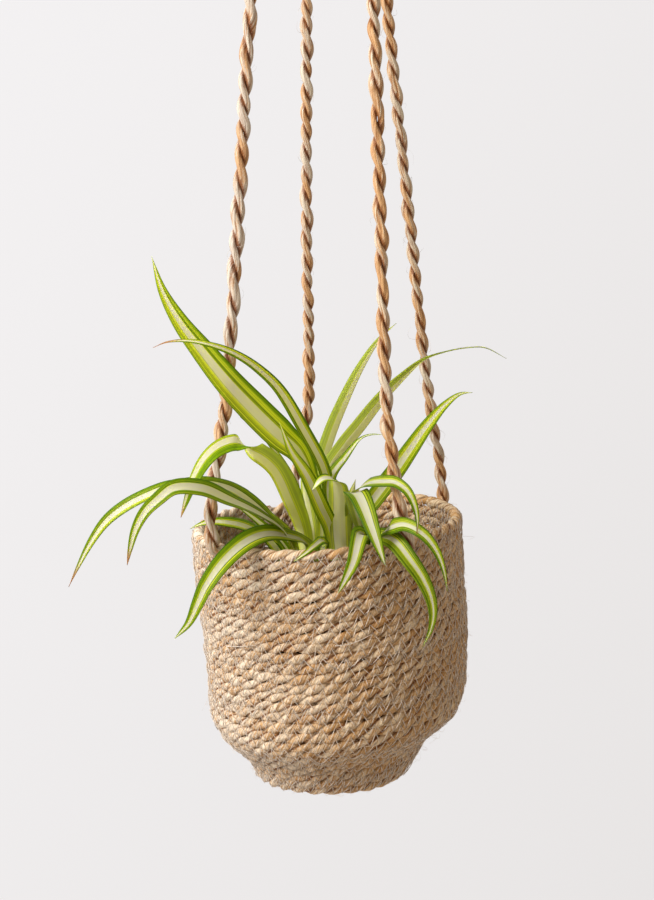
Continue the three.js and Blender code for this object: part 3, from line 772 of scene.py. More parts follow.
# A noise: its patches to a metre along each axis, its detail and its roughness.
Grain = namedtuple("Grain", "scale detail roughness", defaults=(0.5,))
FIBRE_GRAIN = Grain((90, 900, 900), 2, 0.6)
BUNDLE_GRAIN = Grain((60, 400, 400), 1)
JUTE_PATCHES = Grain((60, 60, 60), 3, 0.6)
JUTE_FLUFF = Grain((900, 900, 900), 2, 0.6)
THREAD_MOTTLE = Grain((900, 900, 900), 1)
SOIL_GRAIN = Grain((600, 600, 600), 4, 0.7)
SOIL_PATCHES = Grain((90, 90, 90), 2)
GRIT_MOTTLE = Grain((500, 500, 500), 2)
PLASTIC_GRAIN = Grain((1500, 1500, 1500), 2)
PLASTIC_SCUFFS = Grain((30, 30, 300), 3, 0.7)

# On a blade the noises run along it. Their patches are counted across half its width and along its length.
BLADE_SPAN = (4, 0.7)
BLADES_APART = (31, 17)
LEAF_BANDS = Grain((0.9, 0.8, 1), 0)
LEAF_STREAKS = Grain((2.4, 1, 1), 1, 0.6)
LEAF_VEINS = Grain((6.5, 1.6, 1), 1, 0.6)
LEAF_DRIFT = Grain((0.0001, 0.9, 1), 0)

# How far the surfaces are raised by their grain.
JUTE_RELIEF = 0.0018
THREAD_RELIEF = 0.0001
LEAF_RELIEF = 0.00008
SOIL_RELIEF = 0.0008
PLASTIC_RELIEF = 0.00008

# Where a colour begins, where it is whole and, where there is a third value, how much of it is mixed in.
PALE_FIBRES = (0.4, 0.6)
DARK_LINES = (0.47, 0.36)
BROWN_PATCHES = (0.55, 0.75, 0.25)
# Painted shade in the creases: brown jute mixed in by up to the third value.
CREASE_SHADE = (0.0, 1.0, 0.9)
# Painted highlight on the side towards the lamp: where it fades out along X, and how much of it is mixed in.
HIGHLIGHT_SIDE = (-0.1, 0.06)
HIGHLIGHT_SHARE = 0.7
THREAD_SHADES = (0.3, 0.7)
LIT_SOIL = (0.3, 0.6)
PALE_SOIL = (0.5, 0.75, 0.5)
SCUFFED = (0.5, 0.75, 0.6)
STRIPE_EDGE = (-0.03, 0.05)
LIME_REACH = (0.0, 0.5)
DEEP_BANDS = (0.42, 0.6, 0.7)
DEEP_VEINS = (0.5, 0.62, 0.4)
DEEP_EDGE = (0.84, 0.95, 0.75)
LIME_VEINS = (0.52, 0.75, 0.4)
YOUNG_FOOT = (0.05, 0.4)
DRY_EDGE = (-0.02, 0.02)
HAS_DRY_TIP = (0.0, 0.01)
UPPER_SIDE = (-0.1, 0.1)
SMOOTH_TIP = (0.55, 0.85)
LIME_SHARE = 0.8
YOUNG_SHARE = 0.4
# How much paler the underside is: partly its own colour, partly painted light for the light that comes
# through the blade.
UNDER_SHARE = 0.3

# How far the stripe drifts to the sides, how frayed its edge and that of a dry tip are, and how the stripe
# narrows: how steeply, from where and how much.
STRIPE_DRIFT = 0.3
STRIPE_FRAY = 0.2
DRY_FRAY = 0.1
STRIPE_NARROWING = (1.15, 0.4, 0.1)

# What makes a margin lime: being near the stripe, the streaks, and the blade's own habit. Each has the value
# from which it counts, and its weight.
LIME_NEARNESS = (0.35, 0.7)
LIME_STREAKS = (0.46, 3.2)
LIME_HABIT = (0.5, 0.9)


class Value:
    """An output of a shader node that takes part in arithmetic."""

    def __init__(self, shader, socket):
        self.shader = shader
        self.socket = socket

    def _math(self, operation, *values):
        return self.shader.node("ShaderNodeMath", {"operation": operation}, dict(enumerate(values)))

    def __add__(self, other):
        return self._math("ADD", self, other)

    def __sub__(self, other):
        return self._math("SUBTRACT", self, other)

    def __rsub__(self, other):
        return self._math("SUBTRACT", other, self)

    def __mul__(self, other):
        return self._math("MULTIPLY", self, other)

    def __pow__(self, other):
        return self._math("POWER", self, other)

    def __abs__(self):
        return self._math("ABSOLUTE", self)

    __radd__ = __add__
    __rmul__ = __mul__

    def larger(self, other):
        return self._math("MAXIMUM", self, other)

    def smaller(self, other):
        return self._math("MINIMUM", self, other)

    def ramp(self, low, high):
        """A smooth step from 0, where the value is low, to 1, where it is high."""
        settings = {"interpolation_type": "SMOOTHSTEP"}
        return self.shader.node("ShaderNodeMapRange", settings, {0: self, 1: low, 2: high})

    def part(self, low, high, share):
        """A share that begins where the value is low, and is whole where it is high."""
        return self.ramp(low, high) * share

    def past(self, start, weight):
        """How far the value is past a start, times a weight."""
        return (self - start) * weight


class Shader:
    """A material in the making. Its surface takes plain values, and paint() links what changes over it."""

    def __init__(self, name, **plain):
        self.material = bpy.data.materials.new(name)
        self.material.use_nodes = True
        self.tree = self.material.node_tree
        self.surface = self.tree.nodes["Principled BSDF"]
        for key, value in plain.items():
            self.surface.inputs[key.replace("_", " ")].default_value = value

    def node(self, kind, settings=None, inputs=None, output=0):
        """Adds a node, makes its settings, fills its inputs with values or links, and gives an output."""
        node = self.tree.nodes.new(kind)
        for name, value in (settings or {}).items():
            setattr(node, name, value)
        for key, value in (inputs or {}).items():
            if isinstance(value, Value):
                self.tree.links.new(value.socket, node.inputs[key])
            else:
                node.inputs[key].default_value = value
        return Value(self, node.outputs[output])

    def mix(self, low, high, factor):
        """A colour between two colours."""
        low, high = (c if isinstance(c, Value) else (*c, 1) for c in (low, high))
        return self.node("ShaderNodeMix", {"data_type": "RGBA"}, {0: factor, 6: low, 7: high}, 2)

    def carried(self, name):
        """The three values that the mesh's points carry under a name."""
        vector = self.node("ShaderNodeAttribute", {"attribute_name": name}, output=1)
        return vector, [self.node("ShaderNodeSeparateXYZ", inputs={0: vector}, output=k) for k in range(3)]

    def place(self):
        """The place on the object, in metres."""
        return self.node("ShaderNodeTexCoord", output=3)

    def noise(self, place, grain):
        """Noise about 0.5."""
        scaled = self.node("ShaderNodeVectorMath", {"operation": "MULTIPLY"}, {0: place, 1: grain.scale})
        inputs = {"Vector": scaled, "Scale": 1.0, "Detail": grain.detail, "Roughness": grain.roughness}
        return self.node("ShaderNodeTexNoise", None, inputs)

    def paint(self, tint, roughness=None, height=None, depth=0.0):
        """Links the surface's colour and roughness, and a height that bumps it."""
        self.tree.links.new(tint.socket, self.surface.inputs["Base Color"])
        if roughness is not None:
            self.tree.links.new(roughness.socket, self.surface.inputs["Roughness"])
        if height is not None:
            bump = self.node("ShaderNodeBump", None, {"Strength": 1.0, "Distance": depth, "Height": height})
            self.tree.links.new(bump.socket, self.surface.inputs["Normal"])
        return self.material


def jute(name, look, overall_highlight=0.0):
    """Jute: pale and tan fibres along each strand, dark lines between them, and painted shade in the creases.

    A painted highlight makes the side towards the lamp paler and whiter; a third argument adds it all over.
    """
    shader = Shader(name, Roughness=0.45, Specular_IOR_Level=0.25)
    lines, _ = shader.carried("fibre")
    _, (crease_shade, strand_tone, _) = shader.carried("shade")
    fibre = shader.noise(lines, FIBRE_GRAIN)
    bundle = shader.noise(lines, BUNDLE_GRAIN)
    place = shader.place()
    patch = shader.noise(place, JUTE_PATCHES)
    fluff = shader.noise(place, JUTE_FLUFF)
    mixed = 0.45 * fibre + 0.35 * bundle + 0.2 * fluff
    tone = (mixed + look.patchy * strand_tone).ramp(*PALE_FIBRES)
    body = shader.mix(look.tan, look.pale, tone)
    body = shader.mix(body, look.brown, fibre.part(*DARK_LINES, look.streaky))
    body = shader.mix(body, look.brown, patch.part(*BROWN_PATCHES))
    # Painted highlight: the side towards the lamp, at the left, turns paler and whiter, most on the pale
    # fibres.
    left = 1 - shader.node("ShaderNodeSeparateXYZ", inputs={0: place}).ramp(*HIGHLIGHT_SIDE)
    painted_highlight = left * (0.1 + 0.9 * tone) * HIGHLIGHT_SHARE + overall_highlight
    body = shader.mix(body, look.painted_highlight, painted_highlight.smaller(1))
    # Painted shade: brown in the creases between the strands and in the grooves between the yarns.
    body = shader.mix(body, look.brown, crease_shade.part(*CREASE_SHADE))
    return shader.paint(body, height=0.4 * fibre + 0.45 * bundle + 0.15 * fluff, depth=JUTE_RELIEF)


def toned(tint, share):
    """A colour made darker or paler."""
    return [min(1, part * share) for part in tint]


def thread_material(name, tint):
    """Sewing thread: a smooth twisted yarn."""
    shader = Shader(name, Roughness=0.55, Sheen_Weight=0.2, Specular_IOR_Level=0.4)
    mottle = shader.noise(shader.place(), THREAD_MOTTLE)
    body = shader.mix(toned(tint, 0.7), toned(tint, 1.25), mottle.ramp(*THREAD_SHADES))
    return shader.paint(body, height=mottle, depth=THREAD_RELIEF)


def leaf_material(look):
    """A spider plant's blade: cream along its middle, streaks of lime beside that, and green margins.

    Each blade carries its own values: across runs from -1 to 1, along from 0 at its foot to 1 at its tip.
    """
    shader = Shader(
        "striped_leaf", Specular_IOR_Level=0.1, Subsurface_Weight=0.7, Subsurface_Radius=(1, 1.1, 0.15),
        Subsurface_Scale=0.0018,
    )
    shader.surface.subsurface_method = "BURLEY"
    _, (across, along, seed) = shader.carried("blade")
    _, (stripe, aside, lime) = shader.carried("habit")
    _, (upper, dry, bright) = shader.carried("face")
    spread, stretch = BLADE_SPAN
    apart, behind = BLADES_APART
    corner = {0: across * spread + seed * apart, 1: along * stretch, 2: seed * behind}
    lines = shader.node("ShaderNodeCombineXYZ", None, corner)
    band, streak, vein, drift = (
        shader.noise(lines, grain) for grain in (LEAF_BANDS, LEAF_STREAKS, LEAF_VEINS, LEAF_DRIFT)
    )

    # The margins, from green to deep green, with lime streaks beside the stripe
    steep, start, most = STRIPE_NARROWING
    narrower = (along * steep - start).larger(0) ** 2 * most
    half = stripe + streak.past(0.5, STRIPE_FRAY) - narrower
    off = abs(across - aside + drift.past(0.5, STRIPE_DRIFT)) - half
    deep = band.part(*DEEP_BANDS) + vein.part(*DEEP_VEINS)
    margin = shader.mix(look.green, look.deep, deep.smaller(1))
    near = 1 - off.ramp(*LIME_REACH)
    limed = near.past(*LIME_NEARNESS) + streak.past(*LIME_STREAKS) + lime.past(*LIME_HABIT)
    margin = shader.mix(margin, look.lime, limed.larger(0).smaller(1) * LIME_SHARE)
    margin = shader.mix(margin, look.deep, abs(across).part(*DEEP_EDGE))

    # The stripe, the pale foot, the underside and the dry tip
    cream = shader.mix(look.cream, look.lime, vein.part(*LIME_VEINS))
    body = shader.mix(margin, cream, 1 - off.ramp(*STRIPE_EDGE))
    young = 1 - along.ramp(*YOUNG_FOOT)
    body = shader.mix(body, look.young, young * YOUNG_SHARE)
    # The underside is paler: partly its own colour, partly painted light for the light that comes through the
    # blade.
    under = shader.mix(body, look.young, UNDER_SHARE)
    body = shader.mix(under, body, upper.ramp(*UPPER_SIDE))
    dried = along + streak.past(0.5, DRY_FRAY) - (1 - dry)
    body = shader.mix(body, look.dry, dried.ramp(*DRY_EDGE) * dry.ramp(*HAS_DRY_TIP))
    # Each blade's colour is scaled by its own brightness: painted light on the blades that lie in shade,
    # painted shade on those that the lamp lights most.
    body = shader.node("ShaderNodeVectorMath", {"operation": "SCALE"}, {0: body, "Scale": bright})
    ribs = (0.6 * streak + 0.4 * vein) * (1 - along.ramp(*SMOOTH_TIP))
    return shader.paint(body, 0.36 + 0.2 * streak, ribs, LEAF_RELIEF)


def soil_material(look):
    """Dark crumbly potting mix."""
    shader = Shader("potting_mix", Roughness=0.95, Specular_IOR_Level=0.2)
    place = shader.place()
    grains = shader.noise(place, SOIL_GRAIN)
    patches = shader.noise(place, SOIL_PATCHES)
    body = shader.mix(toned(look.earth, 0.35), look.earth, grains.ramp(*LIT_SOIL))
    body = shader.mix(body, toned(look.earth, 1.8), patches.part(*PALE_SOIL))
    return shader.paint(body, height=grains, depth=SOIL_RELIEF)


def grit_material(look):
    """Pale, faintly mottled grains."""
    shader = Shader("pale_grit", Roughness=0.9)
    mottle = shader.noise(shader.place(), GRIT_MOTTLE)
    return shader.paint(shader.mix(toned(look.grit, 0.75), look.grit, mottle))


def plastic_material(look):
    """Thin moulded plastic with a faint grain and light scuffs."""
    shader = Shader("moulded_plastic", Specular_IOR_Level=0.4)
    place = shader.place()
    grain = shader.noise(place, PLASTIC_GRAIN)
    scuff = shader.noise(place, PLASTIC_SCUFFS)
    paler = [part + 0.01 for part in toned(look.plastic, 1.7)]
    body = shader.mix(look.plastic, paler, scuff.part(*SCUFFED))
    return shader.paint(body, 0.42 + 0.25 * scuff, grain, PLASTIC_RELIEF)


# The coiled wall

class Coil:
    """The jute cord that the basket is coiled from. Places along it are counted in turns from the rim."""

    def __init__(self, look):
        depth = np.arange(0, BASKET_HEIGHT + OUTLINE_STEP / 2, OUTLINE_STEP)
        radius = np.interp(depth, RINGS[:, 0], RINGS[:, 1])
        padded = np.pad(radius, SHOULDER_ROUNDING, mode="reflect", reflect_type="odd")
        window = np.hanning(2 * SHOULDER_ROUNDING + 3)[1:-1]
        radius = np.convolve(padded, window / window.sum(), "valid")
        slope = np.gradient(radius, depth)
        stretch = np.hypot(1, slope)
        half = look.across / 2
        self.look = look
        self.depth = depth
        self.outward = np.stack((1 / stretch, slope / stretch), axis=1)
        self.line = np.stack((radius, -depth), axis=1) - half * self.outward
        self.walked = walked(self.line)
        self.rows = round(self.walked[-1] / look.row_pitch)
        self.pitch = self.walked[-1] / self.rows
        self.turns = np.linspace(0, self.rows, self.rows * COIL_RINGS_A_TURN + 1)
        self.along = walked(self.middle(self.turns)[0])

    def middle(self, turns):
        """The cord's middle at each place, the way out of the wall, and the way up it."""
        row = np.floor(turns)
        down = np.clip(row + 0.5 + ease((turns - row - 1 + ROW_STEP) / ROW_STEP), 0.5, self.rows - 0.5)
        place = down * self.pitch
        angle = COIL_START + 2 * np.pi * turns
        depth = np.interp(place, self.walked, self.depth)
        radius, height = (np.interp(place, self.walked, axis) for axis in self.line.T)
        out_radius, out_height = (np.interp(place, self.walked, axis) for axis in self.outward.T)
        shift = np.interp(depth, RINGS[:, 0], RINGS[:, 2])
        tilt = np.radians(np.interp(depth, RINGS[:, 0], RINGS[:, 3]))
        cosine, sine = np.cos(angle), np.sin(angle)
        across = np.stack((cosine * np.cos(tilt), sine, cosine * np.sin(tilt)), axis=1)
        around = np.stack((-sine * np.cos(tilt), cosine, -sine * np.sin(tilt)), axis=1)
        centre = RIM + radius[:, None] * across + height[:, None] * UPWARD
        centre[:, 0] += shift
        out = unit(out_radius[:, None] * across + out_height[:, None] * UPWARD)
        return centre, out, unit(np.cross(out, around))

    def lay(self, turns):
        """The distance along the cord, and the angle to which its strands have turned there."""
        along = np.interp(turns, self.turns, self.along)
        even = 2 * np.pi * along / self.look.lay
        return along, even + stray(along, COIL_SLOW_TWIST) + stray(along, COIL_QUICK_TWIST)

    def surface(self, turns, angle):
        """The cord's surface at an angle from the way out, and what it carries there."""
        look = self.look
        centre, out, up = self.middle(turns)
        along, lay = self.lay(turns)
        centre = centre + out * stray(along, COIL_OUTWARD)[:, None]
        centre = centre + up * stray(along, COIL_UPWARD)[:, None]
        own = (angle - lay[:, None]) % (2 * np.pi)
        which = np.round(own / np.pi) % STRANDS
        first = which == 0
        swell, tone = (
            np.where(first, stray(along, kind)[:, None], stray(along, kind, 1)[:, None])
            for kind in (COIL_SWELL, COIL_TONE)
        )
        strand = look.strand / 2 * (1 + look.lumpy * np.maximum(swell, LEAST_SWELL))
        reach = (look.across - look.strand) / 2
        fold = np.cos(own) * np.where(first, 1, -1)
        edge = reach * fold + np.sqrt(strand**2 - reach**2 * (1 - fold**2))
        # Painted shade in the crease between the two strands.
        crease_shade = 1 - ease((edge / (look.across / 2) - CREASE_SHADE_FROM) / CREASE_SHADE_OVER)
        tall = np.where(turns < 1, 1, look.flatness)[:, None]
        begun = COIL_END_SIZE + (1 - COIL_END_SIZE) * ease(turns / COIL_END_TURNS)
        centre = centre - up * (COIL_END_SINK * reach * (1 - begun))[:, None]
        edge = edge * begun[:, None]
        points = centre[:, None] + edge[..., None] * (
            np.cos(angle)[..., None] * out[:, None] + (tall * np.sin(angle))[..., None] * up[:, None]
        )
        turn = np.arctan2(edge * np.sin(own), edge * np.cos(own) - np.where(first, reach, -reach))
        turn = turn - (2 * np.pi * along / look.yarn_lay)[:, None]
        fibre = np.stack(np.broadcast_arrays(
            along[:, None] + FIBRES_APART * which,
            look.strand / 2 * np.cos(turn),
            look.strand / 2 * np.sin(turn),
        ), axis=-1)
        return points, fibre, np.stack((crease_shade, tone, 0 * tone), axis=-1)

    def section(self, turns):
        """Whole sections of the cord, which turn with its strands."""
        own = np.linspace(0, 2 * np.pi, COIL_SIDES, endpoint=False)
        return self.surface(turns, own + self.lay(turns)[1][:, None])


def hair_lengths(spread, count, rng):
    """Random lengths, most of them short and a few long."""
    shape, scale, shortest = spread
    return rng.gamma(shape, scale, count) + shortest


def random_hairs(roots, outs, alongs, lengths, lifts, rng):
    """Paths of stray fibres that leave their roots, bend and curl."""
    count = len(roots)
    t = np.linspace(0, 1, HAIR_POINTS)[None, :, None]
    sideways = unit(np.cross(outs, alongs))
    heading = rng.uniform(-1, 1, (count, 2))
    start = unit(alongs * np.sign(heading[:, :1]) + sideways * heading[:, 1:])
    across = np.cross(outs, start)
    curl = rng.uniform(-HAIR_CURL, HAIR_CURL, (count, 1))
    rise = lifts[:, None] * rng.uniform(HAIR_LEAST_RISE, 1, (count, 1))
    span = lengths[:, None, None]
    bow = outs[:, None] * (np.sin(t * HAIR_BOW) * rise[:, :, None])
    bend = across[:, None] * (np.sin(t * HAIR_BEND) * curl[:, :, None])
    return roots[:, None] + span * (start[:, None] * t * HAIR_STRETCH + bow + bend)


class Planter:
    """What an operator for a piece of the planter shares with the others."""

    bl_options = {"REGISTER", "UNDO"}

    def execute(self, context):
        self.build(context.scene)
        return {"FINISHED"}


class PLANTER_OT_basket(Planter, Operator):
    """Coil the jute basket: its wall from the rim down, and its floor"""

    bl_idname = "planter.basket"
    bl_label = "Basket"

    def build(self, scene):
        look = scene.planter_basket
        material = jute("coiled_jute", look)
        coil = Coil(look)
        cuts = np.linspace(0, len(coil.turns) - 1, len(COIL_PIECES) + 1).astype(int)
        for name, first, last in zip(COIL_PIECES, cuts, cuts[1:]):
            points, fibre, shade = coil.section(coil.turns[first:last + 1])
            wall = Skin()
            wall.tube(points, fibre=fibre, shade=shade)
            wall.piece(f"basket_wall_{name}", material, "basket_jute", "basket")
        self.floor(coil, look, material)

    def floor(self, coil, look, material):
        """Winds the floor from the wall's last row in to the middle."""
        centre, _, _ = coil.middle(coil.turns[-1:])
        height = CAD_BOX[0].z + FLOOR_THINNING * look.across / 2
        middle = np.array((RIM[0] + RINGS[-1, 2], RIM[1], height))
        outer = np.linalg.norm(centre[0, :2] - middle[:2]) - look.row_pitch
        turns = outer / look.row_pitch
        wound = 2 * np.pi * turns
        angle = np.linspace(0, wound, round(wound * outer / 2 / FLOOR_STEP))
        radius = outer - look.row_pitch * angle / (2 * np.pi) + FLOOR_OVERLAP
        path = middle + spiral(angle, radius, 0 * angle)
        skin = Skin()
        twisted_cord(skin, path, UPWARD, look, look.lay, FLOOR_CURVE, FLOOR_SIDES, FLOOR_THINNING)
        skin.piece("basket_floor", material, "basket_jute", "basket")


def spiral(angle, radius, height):
    """Points round an upright axis."""
    return np.stack((radius * np.cos(angle), radius * np.sin(angle), height), axis=-1)


def twisted_cord(skin, path, hint, look, lay, seed, sides, size):
    """Adds a cord of two strands, twisted to the left, along a path. One strand is thicker.

    At each place the strands' turn is counted from hint, a direction across the path.
    """
    along = walked(path)
    tangent = unit(np.gradient(path, axis=0))
    lateral = unit(hint - tangent * np.sum(tangent * hint, axis=-1)[:, None])
    depth = np.cross(tangent, lateral)
    even = -2 * np.pi * along / lay
    beat = even + stray(along, ROPE_SLOW_TWIST, seed) + stray(along, ROPE_QUICK_TWIST, seed)
    own = np.linspace(0, 2 * np.pi, sides, endpoint=False)
    swing = (look.across - look.strand) / 2 * size
    for k in range(STRANDS):
        phase = (beat + np.pi * k)[:, None]
        loose = (1 + look.lumpy * stray(along, ROPE_LOOSENESS, seed + k))[:, None]
        away = lateral * np.cos(phase) + depth * np.sin(phase)
        centre = path + away * swing * loose
        ahead = unit(np.gradient(centre, axis=0))
        side = unit(away - ahead * np.sum(away * ahead, axis=1)[:, None])
        other = np.cross(ahead, side)
        twist = 2 * np.pi * along / (look.yarn_lay * size) + stray(along, ROPE_YARN_TWIST, seed + k)
        angle = own + twist[:, None]
        thicker = 1 + look.uneven * (0.5 - k)
        swell = (1 + look.lumpy * stray(along, ROPE_SWELL, seed + k))[:, None]
        fat = look.strand / 2 * size * thicker * swell
        yarns = 1 + YARN_RELIEF * np.cos(YARNS * own) + YARN_UNEVENNESS * np.cos(own + seed)
        rows = centre[:, None] + (fat * yarns)[..., None] * (
            np.cos(angle)[..., None] * side[:, None] + np.sin(angle)[..., None] * other[:, None]
        )
        inward = (1 - np.cos(angle)) / 2
        # Painted shade in the grooves between the yarns and in the creases between the strands.
        groove_shade = YARN_GROOVE_SHADE * ease(-YARN_SHARPNESS * np.cos(YARNS * own) - 0.5)
        crease_shade = np.maximum(ease((inward - ROPE_CREASE_SHADE_FROM) / ROPE_CREASE_SHADE_OVER), groove_shade)
        tone = np.broadcast_to(stray(along, ROPE_TONE, seed + k)[:, None], crease_shade.shape)
        fibre = np.stack(np.broadcast_arrays(
            along[:, None] + seed + k, look.strand / 2 * np.cos(own), look.strand / 2 * np.sin(own),
        ), axis=-1)
        skin.tube(rows, fibre=fibre, shade=np.stack((crease_shade, tone, 0 * tone), axis=-1))


class PLANTER_OT_stitching(Planter, Operator):
    """Sew the coiled rows together with a zigzag thread, and leave a few loose ends"""

    bl_idname = "planter.stitching"
    bl_label = "Stitching"

    def build(self, scene):
        look = scene.planter_basket
        coil = Coil(look)
        skin = Skin()
        pairs = round(2 * math.pi * RINGS[0, 1] / look.stitch / 2)
        legs = 2 * pairs
        part, whole = SECOND_SEAM_SHARE
        for row in range(coil.rows - 1):
            self.sew(skin, coil, row, legs, 1)
            if row % SECOND_SEAM_EVERY == 0:
                self.sew(skin, coil, row, legs // whole * part, 1)
            if row < INNER_SEAMS:
                self.sew(skin, coil, row, legs, -1)
        self.loose_ends(skin, look)
        skin.piece("basket_stitching", thread_material("sewing_thread", look.thread_tint), "basket_jute")

    def sew(self, skin, coil, row, legs, side):
        """Sews one seam: each leg of the zigzag goes from one row's crest to the next one's.

        side is 1 on the wall's outside and -1 on its inside.
        """
        rng = np.random.default_rng(SEAM_CURVE + row + legs)
        corner = row + (np.arange(legs + 1) + rng.uniform(-STITCH_JITTER, STITCH_JITTER, legs + 1)) / legs
        corner = np.clip(corner, row, row + 1)
        upper = np.arange(legs + 1) % 2 == 0
        spread = np.radians(rng.uniform(*STITCH_SPREAD, legs + 1))
        places = np.where(upper, corner, np.minimum(corner + 1, coil.rows))
        facing = 0 if side > 0 else np.pi
        angles = facing - np.where(upper, spread, -spread) * side
        points = coil.surface(places, angles[:, None])[0][:, 0]
        _, out, _ = coil.middle(places)
        points = points + side * out * THREAD_LIFT
        t = np.array((0, 1 / 3, 2 / 3))[None, :, None]
        crossing = points[:-1, None] * (1 - t) + points[1:, None] * t
        bulge = side * (out[:-1] + out[1:])[:, None] * THREAD_BULGE * np.sin(np.pi * t)
        path = np.vstack(((crossing + bulge).reshape(-1, 3), points[-1:]))
        skin.tubes(path[None], np.full((1, len(path)), coil.look.thread / 2), THREAD_SIDES)

    def loose_ends(self, skin, look):
        """Lays the ends of thread that show on the front of the wall."""
        for places in THREAD_ENDS:
            points = [on_wall(across, up, look.thread) for across, up in places]
            path = curve_through(points, 2 * look.thread)
            radii = look.thread / 2 * (THREAD_END_SIZE - np.linspace(0, 1, len(path)) ** 4)
            skin.tubes(path[None], radii[None], THREAD_END_SIDES)


def on_wall(across, up, lift):
    """The place on the front of the wall that is seen at a point, lifted off it, found in a few rounds."""
    nearer = RINGS[0, 1]
    for _ in range(4):
        x, y, z = seen((across, up, nearer))
        radius, shift = (np.interp(-z, RINGS[:, 0], RINGS[:, k]) for k in (1, 2))
        nearer = math.sqrt((radius + lift) ** 2 - (x - shift) ** 2)
    return RIM + (x, y, z)


class PLANTER_OT_stray_fibres(Planter, Operator):
    """Raise the stray fibres of the jute: many fine hairs on the basket and a few on each rope"""

    bl_idname = "planter.stray_fibres"
    bl_label = "Stray fibres"

    def build(self, scene):
        look = scene.planter_basket
        coil = Coil(look)
        rng = np.random.default_rng(HAIR_SEED)
        turns = rng.uniform(0, coil.rows, look.fibres)
        inside = (turns < INSIDE_TURNS) & (rng.uniform(size=look.fibres) < INSIDE_SHARE)
        angles = rng.uniform(-BASKET_HAIR_ANGLE, BASKET_HAIR_ANGLE, look.fibres) + np.where(inside, np.pi, 0)
        roots = coil.surface(turns, angles[:, None])[0]
        _, out, up = coil.middle(turns)
        outs = unit(out * np.cos(angles)[:, None] + up * np.sin(angles)[:, None])
        alongs = np.cross(up, out)
        lengths = hair_lengths(BASKET_HAIR_LENGTHS, look.fibres, rng)
        lifts = np.where(rng.uniform(size=look.fibres) < STEEP_SHARE, STEEP_LIFT, FLAT_LIFT)
        paths = random_hairs(roots[:, 0] - outs * HAIR_ROOT, outs, alongs, lengths, lifts, rng)
        paths[..., 2] = np.maximum(paths[..., 2], CAD_BOX[0].z)
        skin = Skin()
        self.hairs(skin, paths, rng)
        skin.piece("basket_fibres", jute("loose_jute_fibres", look, BASKET_HAIR_HIGHLIGHT), "basket_jute")
        skin = Skin()
        for rope in ROPES.values():
            self.rope_hairs(skin, rope_path(rope), scene.planter_rope, rng)
        skin.piece("rope_fibres", jute("loose_rope_fibres", scene.planter_rope, ROPE_HAIR_HIGHLIGHT), "rope_jute")

    def hairs(self, skin, paths, rng):
        """Adds a thin tube along each path, which carries a random tone."""
        count = len(paths)
        thick = rng.uniform(*HAIR_RADII, (count, 1))
        radii = thick * np.linspace(1, HAIR_TIP, paths.shape[1])
        tone = rng.uniform(*HAIR_TONES, count)
        shade = np.stack((0 * tone, tone, 0 * tone), axis=1)[:, None, None]
        skin.tubes(paths, radii, HAIR_SIDES, fibre=paths[:, :, None], shade=shade)

    def rope_hairs(self, skin, path, look, rng):
        """Roots hairs all round one rope, but not at its ends."""
        places = rng.integers(ROPE_HAIR_FREE_ENDS, len(path) - ROPE_HAIR_FREE_ENDS, look.fibres)
        tangents = unit(np.gradient(path, axis=0))[places]
        outs = unit(np.cross(tangents, rng.normal(size=(look.fibres, 3))))
        roots = path[places] + outs * look.strand * ROPE_HAIR_ROOT
        lengths = hair_lengths(ROPE_HAIR_LENGTHS, look.fibres, rng)
        lifts = np.full(look.fibres, ROPE_HAIR_LIFT)
        self.hairs(skin, random_hairs(roots, outs, tangents, lengths, lifts, rng), rng)


# The ropes

def wall_point(depth, angle, stand_off):
    """A point of the wall at a depth and an angle, off its outside by a distance."""
    radius, shift, tilt = (np.interp(depth, RINGS[:, 0], RINGS[:, k]) for k in (1, 2, 3))
    reach = radius + stand_off
    across, tilt = reach * math.cos(angle), math.radians(tilt)
    place = (shift + across * math.cos(tilt), reach * math.sin(angle), across * math.sin(tilt) - depth)
    return RIM + place


def rope_path(rope):
    """A rope's middle, from where it is tucked into the wall to the inside of the knot."""
    under = wall_point(ROPE_UNDER, math.radians(rope.low), ROPE_STAND_OFF)
    crest = wall_point(ROPE_CREST, math.radians(rope.rim), ROPE_STAND_OFF)
    part = rope.tuck / DEEPEST_TUCK
    end = crest + (under - crest) * part * ROPE_BEND
    end_angle = rope.rim + (rope.low - rope.rim) * part
    tucked = wall_point(rope.tuck, math.radians(end_angle), ROPE_END_INSIDE)
    straight_on = under + (crest - under) * ROPE_RUN_ON
    knot = RIM + (KNOT_AXIS[0] + rope.top[0], KNOT_AXIS[1] + rope.top[1], KNOT_BOTTOM)
    inside = knot + ROPE_IN_KNOT * UPWARD
    above = [RIM + point for point in rope.path]
    return curve_through((tucked, end, crest, straight_on, *above, knot, inside), ROPE_STEP)


class PLANTER_OT_ropes(Planter, Operator):
    """Twist the four jute ropes from the basket's wall up to the knot"""

    bl_idname = "planter.ropes"
    bl_label = "Ropes"

    def build(self, scene):
        look = scene.planter_rope
        material = jute("twisted_jute", look)
        for number, (name, rope) in enumerate(ROPES.items()):
            path = rope_path(rope)
            angle = math.radians(rope.rim)
            hint = np.array((-math.sin(angle), math.cos(angle), 0))
            skin = Skin()
            seed = ROPE_CURVES[0] + ROPE_CURVES[1] * number
            twisted_cord(skin, path, hint, look, rope.lay, seed, ROPE_SIDES, rope.size)
            made = skin.piece(f"twisted_{name}", material, "rope_jute", name)


